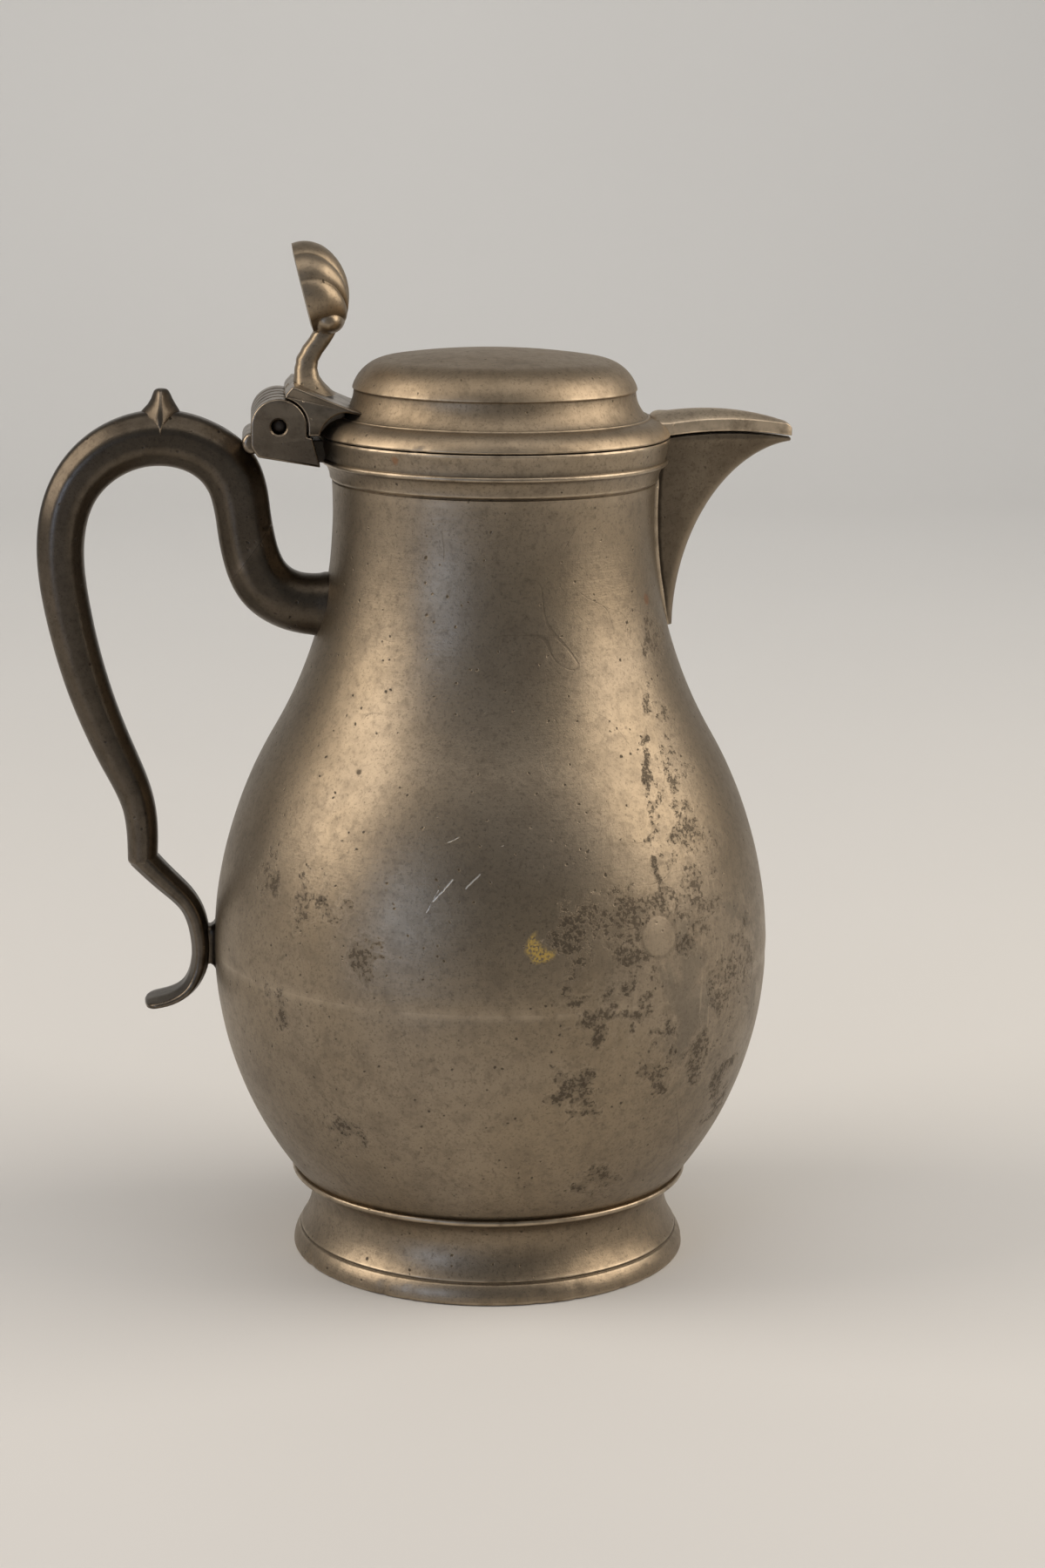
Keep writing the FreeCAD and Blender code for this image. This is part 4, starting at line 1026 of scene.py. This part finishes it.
def cover_row(x):
    """Ring across the spout's cover: flat underside, upright edges, crowned top."""
    start = RIM_RADIUS - 6.0
    share = (x - start) / (SPOUT_TIP + 0.5 - start)
    root = SPOUT_ROOT_HALF + COVER_OVERHANG
    half = root + (SPOUT_NOSE + 0.3 - root) * share
    base = arch_height(max(x, RIM_RADIUS)) + LID_GAP
    low = base + 0.4
    edge = base + COVER_EDGE * (1.04 - 0.04 * share ** 4)
    crown = edge + COVER_CROWN * (1 - share ** 2.6) + 0.1
    rise = clamp((x - RIM_RADIUS + BRIM_WIDTH) / 2.6)
    drop = (1 - math.sqrt(1 - (1 - rise) ** 2)) * 2.2
    end = clamp((SPOUT_TIP + 0.5 - x) / 2.2)
    curl = 1 - math.sqrt(max(1 - (1 - end) ** 2, 0.0))
    half *= 1 - 0.4 * curl
    drop += 1.5 * curl
    top = bow((half, edge - drop), (0.0, crown - drop), (-half, edge - drop), 17)
    ring = soften([(-half, low), (half, low)] + top, 0.55)
    return [(x, y, z) for y, z in ring]


def cover_shape():
    near, far = RIM_RADIUS - BRIM_WIDTH + 0.05, SPOUT_TIP + 0.45
    rows = [cover_row(near + 2.6 * (i / 10) ** 1.5) for i in range(11)]
    rows += [cover_row(near + 2.6 + (far - near - 4.8) * i / 30) for i in range(1, 31)]
    rows += [cover_row(far - 2.2 + 2.2 * math.sin(math.pi / 2 * i / 8)) for i in range(1, 9)]
    return loft(rows)


# Handle

def spline(stations, spacing):
    """Places, headings, thickness and width along a smooth path through the stations."""
    data = np.array(stations, float)
    chord = np.concatenate([[0.0], np.cumsum(np.hypot(*np.diff(data[:, :2], axis=0).T))])
    count = len(chord)
    gaps = np.diff(chord)
    system = np.zeros((count, count))
    right = np.zeros((count, 2))
    system[0, 0] = system[-1, -1] = 1.0
    for i in range(1, count - 1):
        system[i, i - 1:i + 2] = gaps[i - 1], 2 * (gaps[i - 1] + gaps[i]), gaps[i]
        ahead = (data[i + 1, :2] - data[i, :2]) / gaps[i]
        behind = (data[i, :2] - data[i - 1, :2]) / gaps[i - 1]
        right[i] = 6 * (ahead - behind)
    bends = np.linalg.solve(system, right)
    steps = np.linspace(0.0, chord[-1], max(int(chord[-1] / spacing), 4) + 1)
    index = np.clip(np.searchsorted(chord, steps, side="right") - 1, 0, count - 2)
    gap, t = gaps[index][:, None], (steps - chord[index])[:, None]
    a, b = bends[index], bends[index + 1]
    p, q = data[index, :2], data[index + 1, :2]
    slope = (q - p) / gap - gap * (2 * a + b) / 6
    place = p + slope * t + a * t ** 2 / 2 + (b - a) * t ** 3 / (6 * gap)
    heading = slope + a * t + (b - a) * t ** 2 / (2 * gap)
    heading /= np.linalg.norm(heading, axis=1)[:, None]
    thick = np.interp(steps, chord, data[:, 2])
    width = np.interp(steps, chord, data[:, 3])
    return place, heading, thick, width


def ring_of(place, heading, thick, width, rounding):
    """Eight-sided ring across the path with softened ridges."""
    a, b, k = thick / 2, width / 2, HANDLE_FACET
    corners = [(a, b * k), (a * k, b), (-a * k, b), (-a, b * k)]
    corners += [(-u, -v) for u, v in corners]
    ring = []
    for i, corner in enumerate(corners):
        here, back, on = Vector(corner), Vector(corners[i - 1]), Vector(corners[(i + 1) % 8])
        start = here + (back - here).normalized() * min(rounding, (back - here).length * 0.45)
        end = here + (on - here).normalized() * min(rounding, (on - here).length * 0.45)
        ring += [parabola(start, here, end, t) for t in (0.0, 0.2, 0.4, 0.6, 0.8, 1.0)]
    out = (-heading[1], heading[0])
    return [(place[0] + out[0] * p.x, p.y, place[1] + out[1] * p.x) for p in ring]


def swept(stations, rounding, ends, fade=0.0):
    """Tube along the stations: ends rounds off its last rings, and fade is where its facets are full."""
    place, heading, thick, width = spline(stations, SWEEP_STEP)
    rows = []
    for i, item in enumerate(zip(place, heading, thick, width)):
        soft = 5.0 * max(1 - SWEEP_STEP * i / fade, 0.0) if fade else 0.0
        rows.append(ring_of(*item, rounding + soft))
    last, ahead = place[-1], heading[-1]
    for i in range(1, 7):
        t = i / 6
        size = math.sqrt(max(1 - t * t, 0.0))
        spot = (last[0] + ahead[0] * ends * t, last[1] + ahead[1] * ends * t)
        thin, narrow = thick[-1] * (0.5 + 0.5 * size), width[-1] * (0.3 + 0.7 * size)
        rows.append(ring_of(spot, ahead, thin, narrow, rounding))
    return loft(rows)


def scroll_stations():
    neck, rim, t, w = NECK_RADIUS, RIM_HEIGHT, HANDLE_THICK, HANDLE_WIDTH
    upper = [(-1.5, 48.2, t + 3.4, w + 2.4), (2.6, 48.1, t + 3.0, w + 2.0), (4.6, 48.0, t + 2.0, w + 1.2),
             (10.5, 47.2, t + 1.4, w + 0.9), (19.0, 42.2, t + 0.9, w + 0.4), (23.2, 33.5, t + 0.3, w),
             (25.2, 22.5, t, w), (28.6, 10.4, t + 0.9, w), (36.6, 3.6, t, w), (48.8, 0.9, t, w),
             (62.2, 4.8, t - 0.7, w - 0.4), (72.2, 15.0, t - 1.7, w - 0.9), (76.3, 31.0, t - 2.3, w - 1.4),
             (74.6, 49.5, t - 2.7, w - 1.8), (69.2, 71.2, t - 3.5, w - 2.0)]
    lower = [(26.9, 55.0, t - 4.7, w - 2.4), (21.3, 41.0, t - 6.2, w - 2.6), (20.3, 25.4, t - 7.0, w - 2.8)]
    stations = [(-neck - out, rim - drop, thick, wide) for out, drop, thick, wide in upper]
    for out, rise, thick, wide in lower:
        stations.append((-BELLY_RADIUS - out, BELLY_HEIGHT + rise, thick, wide))
    return stations


def tail_stations():
    belly, level, t, w = BELLY_RADIUS + PAD_GAP, BELLY_HEIGHT, TAIL_THICK, TAIL_WIDTH
    path = [(12.2, 18.8, t + 1.6, w - 0.4), (5.8, 12.0, t + 0.7, w + 0.2), (2.9, 3.0, t + 0.4, w + 1.2),
            (3.2, -6.0, t - 0.2, w + 2.4), (6.6, -12.6, t - 1.4, w + 3.6), (13.2, -16.0, t - 1.8, w + 4.6),
            (15.2, -16.4, t - 2.0, w + 4.7)]
    start = (-BELLY_RADIUS - 20.9, level + 26.4, t + 2.4, w - 0.4)
    return [start] + [(-belly - out, level + rise, thick, wide) for out, rise, thick, wide in path]


def bud_shape():
    """Pointed bud on top of the arch, with a ridge down each side of the handle."""
    x, top = -NECK_RADIUS - 48.2, RIM_HEIGHT - 0.9 + HANDLE_THICK / 2
    levels = [(-6.2, -1.6, 2.2, 7.75), (-5.0, -2.4, 2.6, 7.6), (-3.4, -5.0, 4.8, 7.0),
              (-1.6, -6.2, 5.6, 6.4), (0.0, -5.2, 5.2, 5.8), (0.28, -3.6, 4.2, 5.0), (0.52, -2.7, 3.4, 4.1),
              (0.74, -2.2, 2.8, 3.3), (0.9, -1.8, 2.3, 2.5), (0.98, -1.2, 1.7, 1.6), (1.01, -0.5, 0.9, 0.7)]
    rows = []
    for rise, back, front, half in levels:
        z = top + (rise * CUSP_HEIGHT if rise >= 0 else rise)
        ring = []
        for i in range(40):
            turn = 2 * math.pi * i / 40
            u, v = math.cos(turn), math.sin(turn)
            pinch = (abs(u) ** 1.4 + abs(v) ** 1.4) ** (-1 / 1.4)
            ring.append((x + 0.3 + (front if u > 0 else -back) * u * pinch, half * v * pinch, z))
        rows.append(ring)
    return loft(rows)


def split_handle(shape, keep_root):
    """The handle's sweep cut along the oblique joint across its elbow."""
    mesh = bpy.data.meshes.new("split")
    mesh.from_pydata(shape[0], [], shape[1])
    work = bmesh.new()
    work.from_mesh(mesh)
    upper = Vector((-NECK_RADIUS - 10.0, 0, RIM_HEIGHT - 15.0))
    lower = Vector((-NECK_RADIUS - 39.0, 0, RIM_HEIGHT - 54.8))
    normal = (upper - lower).cross(Vector((0, 1, 0))).normalized()
    if normal.x > 0:
        normal.negate()
    area = [v for v in work.verts if v.co.x > ELBOW_REACH and ELBOW_LOW < v.co.z < ELBOW_HIGH]
    chosen = set(area)
    if keep_root:
        bmesh.ops.delete(work, geom=[v for v in work.verts if v not in chosen], context="VERTS")
        geom = work.verts[:] + work.edges[:] + work.faces[:]
    else:
        edges = [e for e in work.edges if all(v in chosen for v in e.verts)]
        geom = area + edges + [f for f in work.faces if all(v in chosen for v in f.verts)]
    shift = normal * (-0.03 if keep_root else 0.03)
    bmesh.ops.bisect_plane(work, geom=geom, dist=1e-5, plane_co=upper + shift, plane_no=normal,
                           clear_outer=keep_root, clear_inner=not keep_root)
    open_edges = [e for e in work.edges if e.is_boundary]
    bmesh.ops.holes_fill(work, edges=open_edges, sides=0)
    work.verts.index_update()
    points = [tuple(v.co) for v in work.verts]
    faces = [[v.index for v in f.verts] for f in work.faces]
    work.free()
    bpy.data.meshes.remove(mesh)
    return points, faces


# Thumbpiece

def shell_line(phi):
    """Control points of one line over the scallop, from its root to its rim."""
    lean = math.cos(phi)
    rim = Vector((0.0, SHELL_HALF_WIDTH * math.sin(phi), 11.5 + (SHELL_LENGTH - 11.5) * lean))
    root = Vector((8.6, 0.12 * rim.y, 0.6))
    rise = Vector((6.5 * (0.5 + 0.5 * lean), 0.45 * rim.y, 0.42 * (rim.z - root.z)))
    return root, root + rise, rim + Vector((9.5 * (0.75 + 0.25 * lean), 0.0, 0.8)), rim


def shell_at(u, phi):
    a, b, c, d = shell_line(phi)
    v = 1 - u
    return a * v ** 3 + b * (3 * v * v * u) + c * (3 * v * u * u) + d * u ** 3


def lobe(phi):
    """How far the scallop's ribs stand out, from none in a crease to one on a crest."""
    creases = [math.radians(t) for t in (-129, -73, -35, 35, 73, 129)]
    for low, high in zip(creases, creases[1:]):
        if phi <= high or high == creases[-1]:
            across = min(max((2 * phi - low - high) / (high - low), -1.0), 1.0)
            return (1 - across * across) ** 0.6


def shell_shape():
    """Ribbed scallop with a dished back, leaning over the lid's hinge."""
    rows, columns = 40, 150
    lean = Matrix.Rotation(math.radians(-SHELL_LEAN), 3, "Y")
    move = Vector((HINGE_X + 9.9, 0.0, HINGE_Z + LUG_RISE + STEM_HEIGHT - 0.8))
    centre = Vector((0, 0, 11.3))
    shrink = 1.0 - SHELL_WALL / SHELL_DEPTH
    outer, inner = [], []
    for i in range(rows + 1):
        u = i / rows
        swell = 0.12 + 0.88 * math.sin(math.pi / 2 * min(u / 0.55, 1.0))
        bulge = 1.35 * swell * (1 - 0.45 * max(u - 0.7, 0.0) / 0.3)
        row, back = [], []
        for j in range(columns + 1):
            phi = math.radians(-150 + 300 * j / columns)
            here = shell_at(u, phi)
            along = shell_at(min(u + 0.01, 1.0), phi) - shell_at(max(u - 0.01, 0.0), phi)
            around = shell_at(u, phi + 0.01) - shell_at(u, phi - 0.01)
            normal = around.cross(along)
            normal = normal.normalized() if normal.length > 1e-9 else Vector((1, 0, 0))
            if normal.dot(here - Vector((3.0, 0, 10.0))) < 0:
                normal.negate()
            row.append(lean @ (here + normal * (bulge * lobe(phi))) + move)
            back.append(lean @ (centre + (here - centre) * shrink - Vector((0.35, 0, 0))) + move)
        outer.append(row)
        inner.append(back)
    front, back = loft(outer, around=False, caps=False), loft(inner, around=False, caps=False)
    points, faces = joined(front, back)
    base, width = len(front[0]), columns + 1
    border = list(range(width)) + [i * width + columns for i in range(1, rows + 1)]
    border += [rows * width + j for j in range(columns - 1, -1, -1)]
    border += [i * width for i in range(rows - 1, 0, -1)]
    for a, b in zip(border, border[1:] + border[:1]):
        faces.append([a, b, base + b, base + a])
    return points, faces


def oval(x_from, x_to, half, z, count=36, power=2.0):
    ring = []
    for i in range(count):
        turn = 2 * math.pi * i / count
        u, v = math.cos(turn), math.sin(turn)
        size = (abs(u) ** power + abs(v) ** power) ** (-1 / power)
        ring.append(((x_from + x_to) / 2 + (x_to - x_from) / 2 * u * size, half * v * size, z))
    return ring


# Stem of the thumbpiece, level by level: height, back, front and half a width
STEM = [(249.2, -57.6, -44.6, 8.6), (249.9, -57.0, -45.6, 8.2), (250.9, -56.6, -46.6, 7.6),
        (252.3, -56.4, -48.0, 6.9), (254.1, -56.2, -49.2, 6.0), (256.3, -56.0, -49.7, 5.2),
        (258.4, -55.6, -49.4, 4.8), (260.6, -54.7, -48.2, 4.5), (262.6, -53.4, -46.7, 4.4),
        (264.6, -51.9, -45.4, 4.4), (266.8, -50.6, -44.2, 4.1)]


def stem_shape():
    """Waisted stem between hinge lug and shell, flared at its foot and waved on its thumb side."""
    rows = []
    for k in range(3 * (len(STEM) - 1) + 1):
        i, t = min(k // 3, len(STEM) - 2), k / 3 - min(k // 3, len(STEM) - 2)
        z, back, front, half = [a + (b - a) * t for a, b in zip(STEM[i], STEM[i + 1])]
        wave = 0.2 * math.sin((z - 255.0) * 1.9) * max(1 - abs(z - 259.5) / 4.5, 0.0)
        rows.append(oval(back - wave, front, half, z, power=3.4))
    foot = [oval(-59.4 + 0.4 * k, -55.0, 4.6 - 0.5 * k, 248.6 + 1.25 * k) for k in (0, 1, 2)]
    foot.append(oval(-58.0, -55.0, 2.9, 251.9))
    return joined(loft(rows), loft(foot))


def roll_shape():
    """Small roll under the shell where it springs from the stem."""
    x, z, deep, tall, half = -46.8, 270.0, 4.9, 4.3, 10.6
    around = [2 * math.pi * j / 32 for j in range(32)]
    rows = []
    for i in range(1, 48):
        turn = math.pi * i / 48
        y, size = -half * math.cos(turn), math.sin(turn) ** 0.75
        rows.append([(x + deep * size * math.cos(t), y, z + tall * size * math.sin(t)) for t in around])
    return loft(rows)


# Hinge

def turn_of(x, z, reach, first, last, count):
    """Points on a circle from one angle to another, in degrees."""
    angles = [math.radians(first + (last - first) * i / (count - 1)) for i in range(count)]
    return [(x + reach * math.cos(t), z + reach * math.sin(t)) for t in angles]


def bracket_shape():
    """Block behind the rim with three knuckles and a rounded rear foot."""
    x, z, reach, room = HINGE_X, HINGE_Z, KNUCKLE_RADIUS, KNUCKLE_RADIUS + KNUCKLE_GAP
    front, step, rear, low = -RIM_RADIUS - 2.6, z - 2.9, x - reach, z - 8.4
    base = [(front, step), (front + 2.4, low - 2.8), (rear + 1.9, low), (rear, low + 2.9)]
    whole = soften([(x + reach, step)] + base + turn_of(x, z, reach, 180, 0, 33), 0.6)
    below = math.sqrt(room ** 2 - reach ** 2)
    dip = math.degrees(math.atan2(below, reach))
    valley = soften([(x + reach, step)] + base + turn_of(x, z, room, 180 + dip, 360 - dip, 25), 0.25)
    shapes = []
    for index in (0, 2, 4):
        y = -HINGE_HALF + index * KNUCKLE_WIDTH
        ends = (y if index == 0 else y + SIDE_GAP, y + KNUCKLE_WIDTH - (0.0 if index == 4 else SIDE_GAP))
        edges = (0.65 if index == 0 else 1.25, 0.65 if index == 4 else 1.25)
        shapes.append(plate(whole, *ends, edges, (x, z, PIN_RADIUS, 0.45)))
    for y in (-KNUCKLE_WIDTH * 1.5, KNUCKLE_WIDTH * 0.5):
        shapes.append(plate(valley, y - 1.2, y + KNUCKLE_WIDTH + 1.2, 0.3))
    foot = bow((rear + 0.5, z - 2.2), (rear - 2.4, z - 5.6), (rear + 1.2, low + 0.2), 15)
    foot.append((rear + 3.0, z - 5.0))
    shapes.append(plate(foot, -HINGE_HALF * 0.68, HINGE_HALF * 0.68, 1.3))
    return joined(*shapes)


def tenon_shape():
    """Tongue between the hinge block and the rim, dark with painted shadow."""
    near, far, half = -RIM_RADIUS - 3.8, -RIM_RADIUS + 2.4, HINGE_HALF * 0.41
    low, high = HINGE_Z - 11.1, RIM_HEIGHT - 0.7
    return plate([(near, low), (far, low), (far, high), (near, high)], -half, half, 0.4)


def lug_shape():
    """Bridge from the lid to the hinge, with the two knuckles that turn on the pin."""
    x, z, room = HINGE_X, HINGE_Z, KNUCKLE_RADIUS + KNUCKLE_GAP
    top, low, end = z + LUG_RISE, z - 2.5, -RIM_RADIUS + STEP_INSET + 3.0
    tip, under = (x + room + 3.2, low), (x + 18.6, z + 3.7)
    arch = bow(under, (x + 14.2, z + 2.2), tip, 13)
    start = math.degrees(math.atan2(9.0, 2.0))
    back = turn_of(x, z, room, 0, start, 19)
    outline = [(x + 2.0, top - 2.4), (x + 4.0, top - 0.2), (x + 20.0, z + 4.6)]
    outline += [(end, z + 3.4), (end, z + 2.6)]
    body = plate(soften(outline + arch + [(x + room, low)] + back, 0.5), -HINGE_HALF, HINGE_HALF, 0.6)
    half = HINGE_HALF * 0.42
    web = plate(soften([tip, (under[0], low - 0.6), under] + arch[1:-1], 0.3), -half, half, 0.3)
    points = []
    for px, py, pz in body[0] + web[0]:
        inward = clamp((px - x - 9.0) / 21.0)
        points.append((px, py * (1 - inward * 4.0 / HINGE_HALF), pz))
    count = len(body[0])
    shapes = [(points[:count], body[1]), (points[count:], web[1])]
    disc = turn_of(x, z, KNUCKLE_RADIUS, 0, 352.5, 48)
    reach, bore = x + room + 0.6, (x, z, PIN_RADIUS + 0.06, 0.3)
    bridge = [(x + 1.0, z + 3.2), (x + 4.0, z - 1.6), (reach, low + 0.2)]
    bridge += [(reach, z + 2.0), (x + 2.6, z + 8.6)]
    for index in (1, 3):
        y = -HINGE_HALF + index * KNUCKLE_WIDTH
        shapes.append(plate(disc, y + SIDE_GAP, y + KNUCKLE_WIDTH - SIDE_GAP, 1.25, bore))
        shapes.append(plate(bridge, y + 0.5, y + KNUCKLE_WIDTH - 0.5, 0.2))
    return joined(*shapes)


def pin_shape():
    """Hinge pin with slightly domed, recessed ends."""
    half = HINGE_HALF - PIN_RECESS
    ends = [(0.4, 0.0), (1.3, 0.12), (1.85, 0.4), (PIN_RADIUS - 0.02, 0.9)]
    steps = [(r, y - half) for r, y in ends] + [(r, half - y) for r, y in reversed(ends)]
    return loft([[(px, y, pz) for px, pz in turn_of(HINGE_X, HINGE_Z, r, 0, 348.75, 32)] for r, y in steps])


def pad_shape():
    """Small solder pad that holds the tail off the belly."""
    corners = [v.co * 1000 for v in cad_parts["handle_pad"].data.vertices]
    low = [min(c[i] for c in corners) for i in range(3)]
    high = [max(c[i] for c in corners) for i in range(3)]
    middle, tall, wide = (low[2] + high[2]) / 2, (high[2] - low[2]) / 2, (high[1] - low[1]) / 2
    rows = []
    for share, spread in ((-0.1, 0.9), (0.2, 0.82), (0.5, 0.8), (0.75, 0.86), (1.0, 1.0)):
        x, side, rise = low[0] + (high[0] - low[0]) * share, wide * spread, tall * spread
        ring = [(side, middle - rise), (side, middle + rise), (-side, middle + rise), (-side, middle - rise)]
        rows.append([(x, y, z) for y, z in soften(ring, 2.2)])
    return loft(rows)


# The jug, piece by piece
points, faces = lathe(foot_section())
points = nicked(points, (FOOT_RADIUS - 0.2, 2.0, 2.6), 0.9)
piece("foot_ring_worn", (points, faces), "jug", "foot_ring", FOOT)
piece("base_plate_worn", lathe(base_section(), closed=False), "jug", "base_plate", FOOT)
points, faces = lathe(lower_section())
piece("lower_body_worn", (uneven(points), faces), "jug", "lower_body", BODY)
points, faces = lathe(upper_section())
points = nicked(uneven(points), (RIM_RADIUS - 0.2, RIM_HEIGHT - 0.6, 1.1), 0.7)
upper = piece("upper_body_worn", (points, faces), "jug", "upper_body", BODY)
opened(upper, channel_shape())
piece("spout_joint_lips", joined(joint_lip(1), joint_lip(-1)), "jug", "upper_body", BODY)
piece("spout_worn", spout_shape(), "jug", "spout", SPOUT, sharp=50.0)

sweep = swept(scroll_stations(), 1.8, ends=1.9, fade=22.0)
root = split_handle(sweep, True)
piece("handle_root_worn", root, "jug", "handle_root", HANDLE, sharp=60.0)
tail = swept(tail_stations(), 1.0, ends=3.6)
scroll = joined(split_handle(sweep, False), tail, bud_shape())
piece("handle_scroll_worn", scroll, "jug", "handle_scroll", HANDLE, sharp=60.0)
piece("handle_pad_worn", pad_shape(), "jug", "handle_pad", HANDLE)
piece("hinge_bracket_worn", bracket_shape(), "jug", "hinge_bracket", HINGE)
# The tongue is given the painted-shadow pewter.
piece("hinge_tenon_worn", tenon_shape(), "jug", "hinge_bracket", RECESS)
piece("hinge_pin_worn", pin_shape(), "jug", "hinge_pin", PIN)

points, faces = lathe(lid_section(), closed=False)
points = nicked(points, (RIM_RADIUS - 0.2, LID_BASE + 0.6, 0.9), 0.6)
piece("lid_worn", (points, faces), "lid", "lid", LID)
piece("lid_spout_cover_worn", cover_shape(), "lid", "lid_spout_cover", COVER, sharp=50.0)
piece("lid_hinge_lug_worn", lug_shape(), "lid", "lid_hinge_lug", HINGE)
thumb = joined(shell_shape(), roll_shape(), stem_shape())
piece("thumbpiece_worn", thumb, "lid", "thumbpiece", THUMB, sharp=70.0)


# Floor, light and camera

def stage():
    """Pale paper sweep: a floor that curves up into a backdrop."""
    reach, bend, top, half = 1.6, 0.8, 4.0, 4.0
    profile = [(-3.0, 0.0), (reach, 0.0)]
    for i in range(1, 17):
        turn = math.pi / 2 * i / 16
        profile.append((reach + bend * math.sin(turn), bend - bend * math.cos(turn)))
    profile.append((reach + bend, top))
    mesh = bpy.data.meshes.new("paper_sweep")
    points = [(x, y, z) for y, z in profile for x in (-half, half)]
    mesh.from_pydata(points, [], [(2 * i, 2 * i + 1, 2 * i + 3, 2 * i + 2) for i in range(len(profile) - 1)])
    for face in mesh.polygons:
        face.use_smooth = True
    mesh.materials.append(paper_floor())
    floor = placed("paper_sweep", mesh)


def lamp(name, place, aim, size, power, colour):
    data = bpy.data.lights.new(name, "AREA")
    data.shape, data.size, data.size_y = "RECTANGLE", size[0], size[1]
    data.energy, data.color = power, colour
    obj = placed(name, data)
    obj.location = place
    obj.rotation_euler = (Vector(aim) - Vector(place)).to_track_quat("-Z", "Y").to_euler()


def lights():
    lamp("key_left", (-1.12, -0.13, 0.83), (0.0, 0.0, 0.16), (0.84, 1.08), 10.2, (1.0, 0.90, 0.78))
    lamp("key_right", (1.10, -0.15, 0.79), (0.0, 0.0, 0.16), (1.10, 1.06), 12.0, (1.0, 0.90, 0.78))
    lamp("front_cool", (-0.82, -0.98, 0.30), (0.0, 0.0, 0.12), (0.40, 0.30), 1.5, (0.46, 0.63, 1.0))
    lamp("overhead", (0.0, -0.42, 1.45), (0.0, 0.0, 0.1), (1.4, 0.9), 4.2, (1.0, 0.95, 0.90))
    lamp("backdrop", (0.0, 0.9, 1.7), (0.0, 2.4, 0.7), (2.4, 0.5), 16.0, (1.0, 0.98, 0.95))
    world = bpy.data.worlds.new("studio")
    world.use_nodes = True
    world.node_tree.nodes["Background"].inputs["Color"].default_value = (0.92, 0.95, 1.0, 1.0)
    world.node_tree.nodes["Background"].inputs["Strength"].default_value = 0.2
    bpy.context.scene.world = world


def camera():
    """The photograph's view: from a little above, slightly turned and tilted."""
    heading, pitch, roll = math.radians(4.5), math.radians(12.249), math.radians(0.598)
    level = math.cos(pitch)
    ahead = Vector((math.sin(heading) * level, math.cos(heading) * level, -math.sin(pitch)))
    right = ahead.cross(Vector((0, 0, 1))).normalized()
    up = right.cross(ahead)
    turn = Matrix((right, up, -ahead)).transposed() @ Matrix.Rotation(roll, 3, "Z")
    data = bpy.data.cameras.new("view")
    data.lens, data.sensor_width = 80.0, 36.0
    obj = placed("view", data)
    obj.matrix_world = Matrix.Translation((-0.06785, -0.9755, 0.3496)) @ turn.to_4x4()
    bpy.context.scene.camera = obj


stage()
lights()
camera()
bpy.context.scene.view_settings.view_transform = "Standard"
